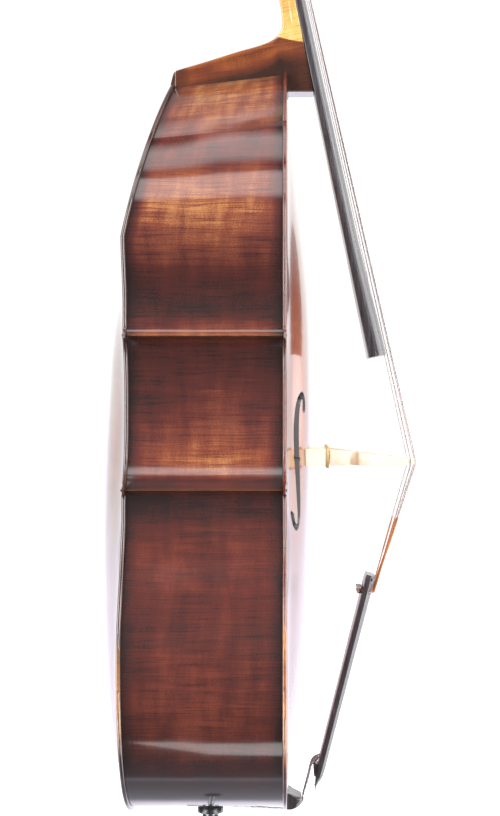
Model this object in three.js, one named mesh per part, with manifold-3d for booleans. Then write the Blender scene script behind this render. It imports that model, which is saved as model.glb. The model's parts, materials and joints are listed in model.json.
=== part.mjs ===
// A three-quarter size double bass with violin corners and a round, bent back.
// Millimetres. +Z up, -Y is the playing side, -X the low-string side.
// The origin is the middle of the end pin's rubber foot, where it meets the floor.
import * as THREE from "three";
import { mergeVertices } from "three/addons/utils/BufferGeometryUtils.js";
import Module from "manifold-3d";

const wasm = await Module();
wasm.setup();

// ---------------------------------------------------------------- driving dimensions
const GAP = 0.3; // clearance between faces that touch
const BODY_Z = 180; // floor to the bottom edge of the plates
const BODY_LENGTH = 1115;
const RIB_DEPTH = 221;
const RIB_THICK = 3;
const PLATE_EDGE = 6.5;
const OVERHANG = 6; // how far the plates stand past the ribs
const CORNER_REACH = 5; // how far the plate corners run on past the rib corners
const BACK_BREAK = 847; // height on the body where the back bends forward
const BACK_BEND = THREE.MathUtils.degToRad(13);
const BACK_DROP = 20; // how much lower the back ends than the top plate

const NECK_ANGLE = THREE.MathUtils.degToRad(11.53);
const HEEL_BOTTOM = 1085; // height on the body
const HEEL_HALF = 28;
const OVERSTAND_Y = -158.2; // fingerboard glue plane at the foot of the heel
const STOP_TO_NUT = 478.7; // foot of the heel to the nut, along the neck
const BOARD_OVERHANG = 412.5; // fingerboard past the foot of the heel
const BOARD_RADIUS = 66;

const BRIDGE_Z = 519.2; // tail side face of the bridge, height on the body
const BRIDGE_FOOT_THICK = 24.8;
const BRIDGE_TOP_THICK = 8;
const BRIDGE_TOP_Y = -312.5; // crown of the bridge
const BRIDGE_RADIUS = 82;
const LEG_X = 58;
const WHEEL_Y = -178; // middle of the height adjuster wheels
const WHEEL_THICK = 6;
const WHEEL_RADIUS = 16.9;
const STUD_RADIUS = 3.2;

const STRINGS = [
  // name, radius, x at the nut, x at the bridge, x at the tailpiece
  { name: "E", radius: 1.2, nutX: -15, bridgeX: -40, tailX: -30, bridgeY: -302.6 },
  { name: "A", radius: 1.05, nutX: -5, bridgeX: -13.5, tailX: -10, bridgeY: -311.5 },
  { name: "D", radius: 0.85, nutX: 5, bridgeX: 13.5, tailX: 10, bridgeY: -311.5 },
  { name: "G", radius: 0.7, nutX: 15, bridgeX: 40, tailX: 30, bridgeY: -302.6 },
];
const PEG_RADIUS = 8;
const GEAR_TEETH = 24;
const GEAR_PITCH_RADIUS = 20;
const GEAR_THICK = 6;
const WORM_RADIUS = 6; // at the pitch line
const WORM_LEAD = (2 * Math.PI * GEAR_PITCH_RADIUS) / GEAR_TEETH;
const TOOTH_DEPTH = 1.5; // above the pitch line
const WORM_TURNS = 3;
const GEAR_X = 38; // middle of each gear, out from the pegbox's middle
const CHEEK_X = 27; // outer face of the pegbox at the nut
const TUNERS = [
  // string, side of its gear, height of its peg above the nut
  { name: "E", side: -1, along: 34 },
  { name: "G", side: 1, along: 64 },
  { name: "A", side: -1, along: 98 },
  { name: "D", side: 1, along: 128 },
];
const PEG_Y = 26; // peg axes, behind the fingerboard's glue plane
const NUT_RISE = 2.2; // the nut above the end of the fingerboard
const COIL_TURNS = 2.2; // each string round its peg

const PIN_RADIUS = 5;
const COLLAR_NECK = 15;

// ---------------------------------------------------------------- materials
const material = (color, roughness, metalness = 0) =>
  new THREE.MeshStandardMaterial({ color, roughness, metalness });
const MAPLE = material(0x7a3d22, 0.25);
const NECK_MAPLE = material(0xd9962f, 0.3);
const SPRUCE = material(0xa8552a, 0.3);
const RAW_SPRUCE = material(0xe0c390, 0.8);
const EBONY = material(0x1c1a1b, 0.35);
const BRIDGE_MAPLE = material(0xf0dfb8, 0.6);
const BRASS = material(0xc9a254, 0.3, 1);
const STEEL = material(0xb9bbbf, 0.3, 1);
const STRING_STEEL = material(0x9a9ca0, 0.35, 1);
const RUBBER = material(0x1b1b1b, 0.85);

// ---------------------------------------------------------------- scene helpers
const bass = new THREE.Group();
const body = new THREE.Group(); // heights in it count from the plates' bottom edge
body.position.z = BODY_Z;
bass.add(body);
const neckFrame = new THREE.Group(); // at the nut's foot on the glue plane, +Z up the neck
neckFrame.rotation.x = -NECK_ANGLE;
neckFrame.position.set(
  0,
  OVERSTAND_Y + STOP_TO_NUT * Math.sin(NECK_ANGLE),
  HEEL_BOTTOM + STOP_TO_NUT * Math.cos(NECK_ANGLE),
);
body.add(neckFrame);
neckFrame.updateMatrixWorld(true);
body.updateMatrixWorld(true);

function part(name, geometry, surface, parent = body) {
  const mesh = new THREE.Mesh(geometry, surface);
  mesh.name = name;
  parent.add(mesh);
  return mesh;
}

// A point of the body frame, in the neck's frame.
const toNeck = (x, y, z) =>
  new THREE.Vector3(x, y, z).applyMatrix4(neckFrame.matrix.clone().invert());
// A point of the neck's frame, in the body frame.
const fromNeck = (x, y, z) => new THREE.Vector3(x, y, z).applyMatrix4(neckFrame.matrix);

// ---------------------------------------------------------------- solid helpers
function toSolid(geometry) {
  const plain = geometry.index ? geometry.toNonIndexed() : geometry.clone();
  for (const key of Object.keys(plain.attributes)) {
    if (key !== "position") plain.deleteAttribute(key);
  }
  const merged = mergeVertices(plain, 1e-4);
  const index = merged.index.array;
  const kept = [];
  for (let i = 0; i < index.length; i += 3) {
    const [a, b, c] = [index[i], index[i + 1], index[i + 2]];
    if (a !== b && b !== c && c !== a) kept.push(a, b, c);
  }
  const make = (triangles) =>
    new wasm.Manifold(
      new wasm.Mesh({
        numProp: 3,
        vertProperties: merged.attributes.position.array,
        triVerts: new Uint32Array(triangles),
      }),
    );
  const made = make(kept);
  if (made.volume() >= 0) return made;
  for (let i = 0; i < kept.length; i += 3) {
    [kept[i + 1], kept[i + 2]] = [kept[i + 2], kept[i + 1]];
  }
  return make(kept);
}

function fromSolid(solid) {
  const mesh = solid.getMesh();
  const positions = new Float32Array(mesh.numVert * 3);
  for (let i = 0; i < mesh.numVert; i += 1) {
    const from = i * mesh.numProp;
    positions.set(mesh.vertProperties.subarray(from, from + 3), i * 3);
  }
  const geometry = new THREE.BufferGeometry();
  geometry.setAttribute("position", new THREE.BufferAttribute(positions, 3));
  geometry.setIndex(new THREE.BufferAttribute(mesh.triVerts, 1));
  return geometry;
}

// The same shape on the other side of x = 0.
const mirrored = (geometry) => fromSolid(toSolid(geometry.scale(-1, 1, 1)));

// The first geometry with the others added to it.
function join(first, ...others) {
  return fromSolid(others.reduce((sum, g) => sum.add(toSolid(g)), toSolid(first)));
}

// The first geometry with the others cut away.
function cut(first, ...others) {
  return fromSolid(others.reduce((rest, g) => rest.subtract(toSolid(g)), toSolid(first)));
}

// A closed skin over rings that all have the same number of points.
function loft(rings) {
  const count = rings[0].length;
  const positions = rings.flat().flatMap((p) => [p.x, p.y, p.z]);
  const index = [];
  for (let r = 0; r + 1 < rings.length; r += 1) {
    for (let i = 0; i < count; i += 1) {
      const a = r * count + i;
      const b = r * count + ((i + 1) % count);
      index.push(a, b, a + count, b, b + count, a + count);
    }
  }
  const cap = (ring, start, flip) => {
    const normal = new THREE.Vector3();
    for (let i = 0; i < count; i += 1) {
      normal.add(ring[i].clone().cross(ring[(i + 1) % count]));
    }
    normal.normalize();
    const side = ring[1].clone().sub(ring[0]).normalize();
    const up = normal.clone().cross(side);
    const flat = ring.map((p) => new THREE.Vector2(p.dot(side), p.dot(up)));
    for (const [a, b, c] of THREE.ShapeUtils.triangulateShape(flat, [])) {
      index.push(start + a, start + (flip ? c : b), start + (flip ? b : c));
    }
  };
  cap(rings[0], 0, true);
  cap(rings.at(-1), (rings.length - 1) * count, false);
  const geometry = new THREE.BufferGeometry();
  geometry.setAttribute("position", new THREE.Float32BufferAttribute(positions, 3));
  geometry.setIndex(index);
  return fromSolid(toSolid(geometry));
}

// A round bar along a line of points, mitred where the line turns.
// radii may be one number or one for each point.
function tube(points, radii, sides = 6) {
  const rings = [];
  let across = null;
  for (let i = 0; i < points.length; i += 1) {
    const before = points[Math.max(0, i - 1)];
    const after = points[Math.min(points.length - 1, i + 1)];
    const intoIt = points[i].clone().sub(before).normalize();
    const outOfIt = after.clone().sub(points[i]).normalize();
    const along = intoIt.clone().add(outOfIt).normalize();
    if (!across) {
      across = new THREE.Vector3(1, 0, 0);
      if (Math.abs(along.x) > 0.9) across.set(0, 1, 0);
    }
    across.sub(along.clone().multiplyScalar(across.dot(along))).normalize();
    const up = along.clone().cross(across);
    const radius = Array.isArray(radii) ? radii[i] : radii;
    const ring = [];
    for (let k = 0; k < sides; k += 1) {
      const turn = (2 * Math.PI * k) / sides;
      ring.push(
        points[i]
          .clone()
          .addScaledVector(across, radius * Math.cos(turn))
          .addScaledVector(up, radius * Math.sin(turn)),
      );
    }
    rings.push(ring);
  }
  return loft(rings);
}

// A cylinder between two points.
function rod(from, to, radius, sides = 16) {
  const along = to.clone().sub(from);
  const geometry = new THREE.CylinderGeometry(radius, radius, along.length(), sides);
  geometry.applyQuaternion(
    new THREE.Quaternion().setFromUnitVectors(
      new THREE.Vector3(0, 1, 0),
      along.clone().normalize(),
    ),
  );
  const middle = from.clone().add(to).multiplyScalar(0.5);
  return geometry.translate(middle.x, middle.y, middle.z);
}

// A box from its lowest to its highest corner.
function block(low, high) {
  const [x0, y0, z0] = low;
  const [x1, y1, z1] = high;
  return new THREE.BoxGeometry(x1 - x0, y1 - y0, z1 - z0).translate(
    (x0 + x1) / 2,
    (y0 + y1) / 2,
    (z0 + z1) / 2,
  );
}

// A side profile, points of [y, z], given a thickness either side of x = 0.
function sideProfile(points, half) {
  return loft([-half, half].map((x) => points.map(([y, z]) => new THREE.Vector3(x, y, z))));
}

// A turned piece about a line along Z. points are [radius, z].
function turned(points, sides = 20) {
  const profile = points.map(([r, z]) => new THREE.Vector2(r, z));
  return new THREE.LatheGeometry(profile, sides).rotateX(Math.PI / 2);
}

const smooth = (t) => {
  const c = THREE.MathUtils.clamp(t, 0, 1);
  return c * c * (3 - 2 * c);
};

// ---------------------------------------------------------------- body outline
// Right half of the rib garland, from the bottom middle to the neck, as x and height.
const path = (start, ...curves) => {
  const made = new THREE.Path().moveTo(...start);
  curves.forEach((c) => made.bezierCurveTo(...c));
  return made;
};
const LOWER_CORNER = [250, 489];
const UPPER_CORNER = [229, 708];
const lowerBout = path(
  [0, 6],
  [190, 6, 330, 95, 330, 252],
  [330, 345, 234, 385, 234, 452],
  [234, 470, 238, 487.5, ...LOWER_CORNER],
);
const waist = path(LOWER_CORNER, [214, 493, 181, 540, 181, 600], [181, 652, 203, 699, ...UPPER_CORNER]);
const upperBout = path(
  UPPER_CORNER,
  [219, 710, 214, 725, 214, 746],
  [214, 785, 254, 812, 254, 868],
  [254, 962, 132, 1062, HEEL_HALF + GAP, 1110],
);

// Evenly spaced shares of a curve.
const shares = (count, from = 0, to = 1) =>
  Array.from({ length: count + 1 }, (_, i) => from + ((to - from) * i) / count);
const BREAK_SHARE = shares(2000).find((t) => upperBout.getPointAt(t).y >= BACK_BREAK);
const LOWER_SHARES = shares(18, 0.0012, 1);
const WAIST_SHARES = shares(11, 0.045, 0.955);
const UPPER_SHARES = [...shares(6, 0, BREAK_SHARE), ...shares(9, BREAK_SHARE, 1).slice(1)];

// A point of the outline moved out by offset.
function offsetPoint(curve, t, offset) {
  const p = curve.getPointAt(t);
  const along = curve.getTangentAt(t);
  return new THREE.Vector2(p.x + along.y * offset, p.y - along.x * offset);
}
const outlinePoints = (curve, at, offset) => at.map((t) => offsetPoint(curve, t, offset));

// The right half of a plate's edge: the ribs' outline with the overhang and the drawn-out corners.
function plateEdge() {
  const first = outlinePoints(lowerBout, shares(13, 0.03), OVERHANG);
  const second = outlinePoints(waist, shares(8), OVERHANG);
  const upper = [...shares(4, 0, BREAK_SHARE), ...shares(7, BREAK_SHARE, 1).slice(1)];
  const third = outlinePoints(upperBout, upper, OVERHANG);
  first.push(first.at(-1).clone().addScaledVector(lowerBout.getTangentAt(1), CORNER_REACH));
  second.unshift(second[0].clone().addScaledVector(waist.getTangentAt(0), -CORNER_REACH));
  second.push(second.at(-1).clone().addScaledVector(waist.getTangentAt(1), CORNER_REACH));
  third.unshift(third[0].clone().addScaledVector(upperBout.getTangentAt(0), -CORNER_REACH));
  const edge = [...first, ...second, ...third];
  edge.push(new THREE.Vector2(HEEL_HALF - 8, BODY_LENGTH));
  return edge;
}
const PLATE_EDGE_POINTS = plateEdge();

// Half the width that the arching spans at a height: the outline with its corners smoothed away.
const ARCH_SPAN = [
  [0, 60],
  [40, 196],
  [120, 294],
  [252, 330],
  [390, 276],
  [490, 208],
  [602, 181],
  [708, 202],
  [868, 254],
  [980, 206],
  [1060, 124],
  [1115, 48],
];
const archSpan = new THREE.CatmullRomCurve3(
  ARCH_SPAN.map(([z, x]) => new THREE.Vector3(x, z, 0)),
  false,
  "centripetal",
);
const archSpanTable = archSpan.getPoints(240);
function spanAt(z) {
  const k = archSpanTable.findIndex((p) => p.y >= z);
  if (k <= 0) return archSpanTable[k === 0 ? 0 : 240].x;
  const [a, b] = [archSpanTable[k - 1], archSpanTable[k]];
  return a.x + ((b.x - a.x) * (z - a.y)) / (b.y - a.y);
}

// How far each plate rises above its edge along its middle, as height on the body and rise.
const arching = (points) =>
  new THREE.CatmullRomCurve3(
    points.map(([z, up]) => new THREE.Vector3(up, z, 0)),
    false,
    "centripetal",
  ).getPoints(240);
const TOP_ARCHING = arching([
  [0, 0],
  [81, 4.5],
  [164, 13.5],
  [247, 22.5],
  [357, 28.5],
  [495, 33.5],
  [640, 35],
  [743, 33.5],
  [825, 27.5],
  [908, 18],
  [991, 9],
  [1115, 0],
]);
// The back is arched below its bend and flat above it.
const BACK_ARCHING = arching([
  [0, 0],
  [70, 16],
  [164, 29],
  [274, 36],
  [400, 40.5],
  [520, 39.5],
  [633, 34],
  [715, 27],
  [770, 16],
  [BACK_BREAK, 2],
  [960, 0.5],
  [1115, 0],
]);

// How far a plate rises above its edge at x and a height on the body.
function rise(x, z, middle = TOP_ARCHING) {
  const k = Math.max(1, middle.findIndex((p) => p.y >= z));
  const [a, b] = [middle[k - 1], middle[k]];
  const up = THREE.MathUtils.lerp(a.x, b.x, THREE.MathUtils.clamp((z - a.y) / (b.y - a.y), 0, 1));
  const out = Math.min(1, Math.abs(x) / spanAt(z));
  return up * Math.cos((Math.PI / 2) * out ** 1.5) ** 2;
}
const backRise = (x, z) => rise(x, z, BACK_ARCHING);

// The place on the ribs that is a share of the way from the front edge to the back edge.
function onRibs(x, z, share) {
  const dropped = z - BACK_DROP * smooth((z - BACK_BREAK) / (BODY_LENGTH - BACK_BREAK));
  const backY = RIB_DEPTH / 2 - Math.max(0, dropped - BACK_BREAK) * Math.tan(BACK_BEND);
  const y = THREE.MathUtils.lerp(-RIB_DEPTH / 2, backY, share);
  return new THREE.Vector3(x, y, THREE.MathUtils.lerp(z, dropped, share));
}
const TOP_FACE_Y = -RIB_DEPTH / 2 - GAP - PLATE_EDGE; // outer face of the top plate at its edge
const topY = (x, z) => TOP_FACE_Y - rise(x, z);
const topInnerY = (x, z) => -RIB_DEPTH / 2 - GAP - 0.96 * rise(x, z);
const backInnerY = (x, z) => onRibs(x, z, 1).y + GAP + 0.96 * backRise(x, z);

// ---------------------------------------------------------------- plates
const PLATE_COLUMNS = 10;
// place(x, z, outside) gives a point of the plate's outer or inner face.
function plate(place) {
  const rows = PLATE_EDGE_POINTS;
  const columns = [];
  for (let j = 0; j <= PLATE_COLUMNS; j += 1) {
    const share = (2 * j) / PLATE_COLUMNS - 1;
    columns.push(Math.sign(share) * Math.abs(share) ** 0.8); // closer together towards the edges
  }
  const rings = rows.map(({ x: half, y: z }) => [
    ...columns.map((c) => place(c * half, z, true)),
    ...columns.toReversed().map((c) => place(c * half, z, false)),
  ]);
  return loft(rings);
}

// One f-hole as a flat shape in x and height, for the low-string side.
function soundHole() {
  const shape = new THREE.Shape();
  shape.moveTo(-84, 604);
  shape.bezierCurveTo(-84, 622, -96, 632, -108, 628);
  shape.bezierCurveTo(-132, 618, -137, 580, -138, 530);
  shape.bezierCurveTo(-139, 490, -142, 452, -158, 438);
  shape.bezierCurveTo(-166, 434, -172, 441, -171, 450);
  shape.lineTo(-190, 452);
  shape.bezierCurveTo(-190, 436, -176, 425, -162, 428);
  shape.bezierCurveTo(-131, 436, -125, 480, -122, 530);
  shape.bezierCurveTo(-119, 580, -116, 607, -104, 617);
  shape.bezierCurveTo(-99, 619, -99, 611, -101, 604);
  shape.closePath();
  return shape;
}

function makePlates() {
  const hole = (side) => {
    const depth = 80;
    const flat = new THREE.ExtrudeGeometry(soundHole(), {
      depth,
      bevelEnabled: false,
      curveSegments: 4,
    });
    // Upright: the shape's own y becomes the height, and it is pushed through along Y.
    flat.rotateX(Math.PI / 2).translate(0, -RIB_DEPTH / 2 + 20, 0);
    return side < 0 ? flat : flat.scale(-1, 1, 1);
  };
  const top = plate(
    (x, z, outside) => new THREE.Vector3(x, outside ? topY(x, z) : topInnerY(x, z), z),
  );
  const heelNotch = block(
    [-HEEL_HALF - GAP, TOP_FACE_Y - 40, HEEL_BOTTOM - GAP],
    [HEEL_HALF + GAP, -90, BODY_LENGTH + 5],
  );
  const saddleNotch = block([-36 - GAP, TOP_FACE_Y - 20, -5], [36 + GAP, -90, 22 + GAP]);
  part("top_plate", cut(top, hole(-1), hole(1), heelNotch, saddleNotch), SPRUCE);

  const back = plate((x, z, outside) => {
    const p = onRibs(x, z, 1);
    p.y += GAP + (outside ? PLATE_EDGE + backRise(x, z) : 0.96 * backRise(x, z));
    return p;
  });
  // The button: the tongue of the back that covers the end of the heel.
  const end = onRibs(0, BODY_LENGTH, 1);
  const tongue = new THREE.Shape();
  tongue.moveTo(-25, -14);
  tongue.lineTo(-25, 4);
  tongue.bezierCurveTo(-25, 30, 25, 30, 25, 4);
  tongue.lineTo(25, -14);
  tongue.closePath();
  const button = new THREE.ExtrudeGeometry(tongue, {
    depth: PLATE_EDGE - 0.2,
    bevelEnabled: false,
    curveSegments: 8,
  });
  button.rotateX(Math.PI / 2 + BACK_BEND);
  button.translate(0, end.y + GAP + PLATE_EDGE - 0.1, end.z);
  part("back_plate", join(back, button), MAPLE);
}

// ---------------------------------------------------------------- ribs, linings and blocks
// A wall that follows the outline, between two depths inside it. run is a list of [curve, share].
function wall(run, side, outer, inner, frontShare, backShare) {
  return loft(
    run.map(([curve, t]) => {
      const at = (depth, share) => {
        const p = offsetPoint(curve, t, -depth);
        return onRibs(side * p.x, p.y, share);
      };
      return [at(outer, frontShare), at(outer, backShare), at(inner, backShare), at(inner, frontShare)];
    }),
  );
}
const along = (curve, at) => at.map((t) => [curve, t]);

const collarBore = () => rod(new THREE.Vector3(0, 0, -20), new THREE.Vector3(0, 0, 120), 16);
const SIDES = [
  ["bass", -1],
  ["treble", 1],
];

function makeRibs() {
  for (const [label, side] of SIDES) {
    // The lower rib runs out over the end of the waist rib, and so does the upper one.
    const lower = wall(along(lowerBout, LOWER_SHARES), side, 0, RIB_THICK, 0, 1);
    part(`rib_lower_${label}`, cut(lower, collarBore()), MAPLE);
    const middle = wall(along(waist, WAIST_SHARES), side, 0, RIB_THICK, 0, 1);
    part(`rib_waist_${label}`, middle, MAPLE);
    const upper = wall(along(upperBout, UPPER_SHARES), side, 0, RIB_THICK, 0, 1);
    part(`rib_upper_${label}`, cut(upper, heelSpace()), MAPLE);
  }
}

const LINING_DEPTH = 6;
const LINING_HEIGHT = 18;
// A lining runs round inside the ribs along one edge, through notches in the corner blocks.
function lining(side, front, grow = 0) {
  const run = [
    ...along(lowerBout, LOWER_SHARES.slice(1, -1)),
    ...along(waist, WAIST_SHARES.slice(1, -1)),
    ...along(upperBout, UPPER_SHARES.slice(1, -1)),
  ];
  const height = (LINING_HEIGHT + grow) / RIB_DEPTH;
  const edge = (GAP - grow) / RIB_DEPTH;
  return wall(
    run,
    side,
    RIB_THICK + 2 * GAP - grow,
    RIB_THICK + LINING_DEPTH + grow,
    front ? edge : 1 - height,
    front ? height : 1 - edge,
  );
}

const heelSpace = () =>
  block([-HEEL_HALF - GAP, -260, HEEL_BOTTOM - GAP], [HEEL_HALF + GAP, 160, 1200]);

// A block that fills a polygon of x and height, from the front plate to the back plate.
function fill(points, side) {
  return loft(
    [GAP / RIB_DEPTH, 1 - GAP / RIB_DEPTH].map((share) =>
      points.map((p) => onRibs(side * p.x, p.y, share)),
    ),
  );
}

function makeInside() {
  const inward = -(RIB_THICK + GAP);
  const ends = [
    ["end_block", outlinePoints(lowerBout, LOWER_SHARES.slice(0, 4), inward), 78],
    ["neck_block", outlinePoints(upperBout, UPPER_SHARES.slice(-4), inward - 2), 990],
  ];
  const linings = [];
  for (const [, side] of SIDES) {
    for (const front of [true, false]) linings.push(lining(side, front, 2 * GAP));
  }
  for (const [name, half, level] of ends) {
    const right = name === "end_block" ? half : half.toReversed();
    const left = right.toReversed().map((p) => new THREE.Vector2(-p.x, p.y));
    const outline = [...left, ...right, new THREE.Vector2(right.at(-1).x, level)];
    outline.push(new THREE.Vector2(left[0].x, level));
    part(name, cut(fill(outline, 1), collarBore(), heelSpace(), ...linings), RAW_SPRUCE);
  }
  for (const [label, side] of SIDES) {
    const lowerTip = new THREE.Vector2(LOWER_CORNER[0] - 17, LOWER_CORNER[1]);
    const upperTip = new THREE.Vector2(UPPER_CORNER[0] - 16, UPPER_CORNER[1]);
    const corners = [
      [
        "lower",
        [
          ...outlinePoints(lowerBout, LOWER_SHARES.slice(-3, -1), inward),
          lowerTip,
          ...outlinePoints(waist, WAIST_SHARES.slice(1, 4), inward),
          new THREE.Vector2(178, 480),
        ],
      ],
      [
        "upper",
        [
          ...outlinePoints(waist, WAIST_SHARES.slice(-4, -1), inward),
          upperTip,
          ...outlinePoints(upperBout, UPPER_SHARES.slice(1, 4), inward),
          new THREE.Vector2(165, 720),
        ],
      ],
    ];
    for (const [level, outline] of corners) {
      part(`corner_block_${level}_${label}`, cut(fill(outline, side), ...linings), RAW_SPRUCE);
    }
    part(`lining_front_${label}`, lining(side, true), RAW_SPRUCE);
    part(`lining_back_${label}`, lining(side, false), RAW_SPRUCE);
  }

  // The bass bar is glued under the top plate, below the low-string foot of the bridge.
  const BAR_LOW = 120;
  const BAR_HIGH = 960;
  const bar = [];
  for (let i = 0; i <= 10; i += 1) {
    const share = i / 10;
    const z = THREE.MathUtils.lerp(BAR_LOW, BAR_HIGH, share);
    const x = THREE.MathUtils.lerp(-70, -50, share);
    const deep = 6 + 26 * Math.sin(Math.PI * share) ** 1.4;
    const under = Math.max(topInnerY(x - 9, z), topInnerY(x + 9, z)) + 4 * GAP;
    const at = (dx, down) => new THREE.Vector3(x + dx, under + down, z);
    bar.push([at(-9, 0), at(9, 0), at(7, deep), at(-7, deep)]);
  }
  part("bass_bar", loft(bar), RAW_SPRUCE);

  // The sound post is wedged between the plates, just below the high-string foot of the bridge.
  const post = { x: 62, z: 500, r: 9 };
  const around = [0, 1, 2, 3].map((k) => [
    post.x + post.r * Math.cos((k * Math.PI) / 2),
    post.z + post.r * Math.sin((k * Math.PI) / 2),
  ]);
  const from = Math.max(...around.map(([x, z]) => topInnerY(x, z))) + 3 * GAP;
  const to = Math.min(...around.map(([x, z]) => backInnerY(x, z))) - 3 * GAP;
  part(
    "sound_post",
    rod(new THREE.Vector3(post.x, from, post.z), new THREE.Vector3(post.x, to, post.z), post.r),
    RAW_SPRUCE,
  );
}

// ---------------------------------------------------------------- neck, pegbox and scroll
// Half the width of the fingerboard, at a distance along the neck from the nut (minus is down).
const boardHalf = (z) => 21.5 - (z * 22) / (STOP_TO_NUT + BOARD_OVERHANG);
const boardEdgeThick = (z) => 9 + 3.5 * smooth((-z - 700) / 190);
// The top of the fingerboard above the glue plane.
const boardTop = (x, z) =>
  boardEdgeThick(z) +
  Math.sqrt(BOARD_RADIUS ** 2 - x * x) -
  Math.sqrt(BOARD_RADIUS ** 2 - boardHalf(z) ** 2);

// The neck's depth of wood behind the glue plane.
const NECK_DEPTH_NUT = 21;
const neckDepth = (z) => NECK_DEPTH_NUT - z * 0.01;

// A rounded section of the neck.
function neckSection(z) {
  const half = boardHalf(z) - 0.4;
  const deep = neckDepth(z);
  const ring = [];
  for (let i = 0; i <= 10; i += 1) {
    const turn = (Math.PI * i) / 10;
    ring.push(
      new THREE.Vector3(half * Math.cos(turn), 3 + (deep - 3) * Math.sin(turn) ** 0.9, z),
    );
  }
  ring.push(new THREE.Vector3(-half, 0, z), new THREE.Vector3(half, 0, z));
  return ring;
}

const SCROLL = { y: 36, z: 222, outer: 52, turns: 2.2, eye: 9 };
// The scroll's outline at an angle round from its back, in turns.
const scrollRadius = (turn) =>
  SCROLL.outer * (SCROLL.eye / SCROLL.outer) ** (turn / SCROLL.turns);

// One turn of the scroll as a stepped disc.
function scrollTurn(firstTurn, half) {
  const ring = [];
  const steps = 22;
  for (let i = 0; i < steps; i += 1) {
    const turn = i / steps;
    // It starts at the back, +Y, and goes over the top.
    const angle = 2 * Math.PI * turn;
    const radius = scrollRadius(firstTurn + turn);
    ring.push([SCROLL.y + radius * Math.cos(angle), SCROLL.z + radius * Math.sin(angle)]);
  }
  return sideProfile(ring, half);
}

// The pegbox's side outline, in the neck's frame.
function pegboxOutline() {
  const shape = new THREE.Shape();
  shape.moveTo(0, 8 + GAP);
  shape.lineTo(-5, 8 + GAP);
  shape.bezierCurveTo(-8, 60, 2, 130, 20, 178);
  shape.lineTo(SCROLL.y + 12, 190);
  shape.lineTo(SCROLL.y + SCROLL.outer - 1, SCROLL.z);
  shape.bezierCurveTo(84, 190, 74, 170, 70, 140);
  shape.bezierCurveTo(66, 100, 64, 70, 60, 40);
  shape.bezierCurveTo(57, 14, 44, 6, 34, -8);
  shape.bezierCurveTo(27, -20, 24, -34, neckDepth(-52) - 2, -52);
  shape.lineTo(0, -52);
  shape.closePath();
  return shape.getPoints(5).map((p) => [p.x, p.y]);
}

const pegAxis = (tuner, from, to, radius, sides) =>
  rod(
    new THREE.Vector3(from, PEG_Y, tuner.along),
    new THREE.Vector3(to, PEG_Y, tuner.along),
    radius,
    sides,
  );

function makeNeck() {
  const shaft = [-470, -420, -300, -150, -50].map(neckSection);
  // The heel's side outline in the body frame, from the plates up to the neck.
  const heelTop = new THREE.CatmullRomCurve3(
    [
      [47.2, 1118],
      [6, 1130.5],
      [-41, 1145.4],
      [-75, 1155],
      [-94, 1163.4],
      [-104, 1173],
      [-108.3, 1184],
      [-109.2, 1193],
      [-107.6, 1210],
      [-104.6, 1226],
    ].map(([y, z]) => new THREE.Vector3(0, y, z)),
  ).getPoints(18);
  const glue = (z) => OVERSTAND_Y + (z - HEEL_BOTTOM) * Math.tan(NECK_ANGLE) + GAP;
  const heelOutline = [
    [54.3, HEEL_BOTTOM],
    ...heelTop.map((p) => [p.y, p.z]),
    [glue(1226), 1226],
    [glue(HEEL_BOTTOM), HEEL_BOTTOM],
    [-100, HEEL_BOTTOM],
  ];
  const halfAt = (y, z) => {
    const up = smooth((z - 1140) / 80);
    return THREE.MathUtils.lerp(HEEL_HALF, boardHalf(-355) + 1, Math.max(up, smooth((-110 - y) / 40)));
  };
  const heel = loft(
    [-1, 1].map((side) => heelOutline.map(([y, z]) => toNeck(side * Math.min(28, halfAt(y, z)), y, z))),
  );
  const head = sideProfile(pegboxOutline(), CHEEK_X - 2);
  const cavity = loft(
    [
      [12, 16],
      [160, 12],
    ].map(([z, half]) => [
      new THREE.Vector3(-half, -30, z),
      new THREE.Vector3(half, -30, z),
      new THREE.Vector3(half * 0.8, 51, z),
      new THREE.Vector3(-half * 0.8, 51, z),
    ]),
  );
  const bores = TUNERS.map((t) => pegAxis(t, -60, 60, PEG_RADIUS + 0.6, 20));
  const eye = rod(
    new THREE.Vector3(-34, SCROLL.y, SCROLL.z),
    new THREE.Vector3(34, SCROLL.y, SCROLL.z),
    SCROLL.eye,
    14,
  );
  const joined = join(loft(shaft), heel, head, scrollTurn(0, 20), scrollTurn(1, 27), eye);
  part("neck_and_scroll", cut(joined, cavity, ...bores), NECK_MAPLE, neckFrame);
}

// ---------------------------------------------------------------- fingerboard, nut and saddle
function boardSection(z, topAt = boardTop, half = boardHalf(z)) {
  const ring = [new THREE.Vector3(-half, -GAP, z), new THREE.Vector3(half, -GAP, z)];
  for (let i = 0; i <= 8; i += 1) {
    const x = half * (1 - i / 4);
    ring.push(new THREE.Vector3(x, -topAt(x, z), z));
  }
  return ring;
}

function makeBoard() {
  const end = -(STOP_TO_NUT + BOARD_OVERHANG);
  part("fingerboard", loft([-GAP, -690, -790, end].map((z) => boardSection(z))), EBONY, neckFrame);
  const nutTop = (x) => boardTop(x, 0) + NUT_RISE;
  part("nut", loft([0, 8].map((z) => boardSection(z, nutTop, 21.5))), EBONY, neckFrame);

  const nose = [-110.8, -119, -131, -138.5, -139.7, -137, -130, -122, -110.8];
  const levels = [21.5, 21.5, 16, 12.5, 10, 5, -0.5, -3.2, -3.2];
  part("saddle", sideProfile(nose.map((y, i) => [y, levels[i]]), 36), EBONY);
}

// ---------------------------------------------------------------- bridge
const crownY = (x) => BRIDGE_TOP_Y + BRIDGE_RADIUS - Math.sqrt(BRIDGE_RADIUS ** 2 - x * x);

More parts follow.
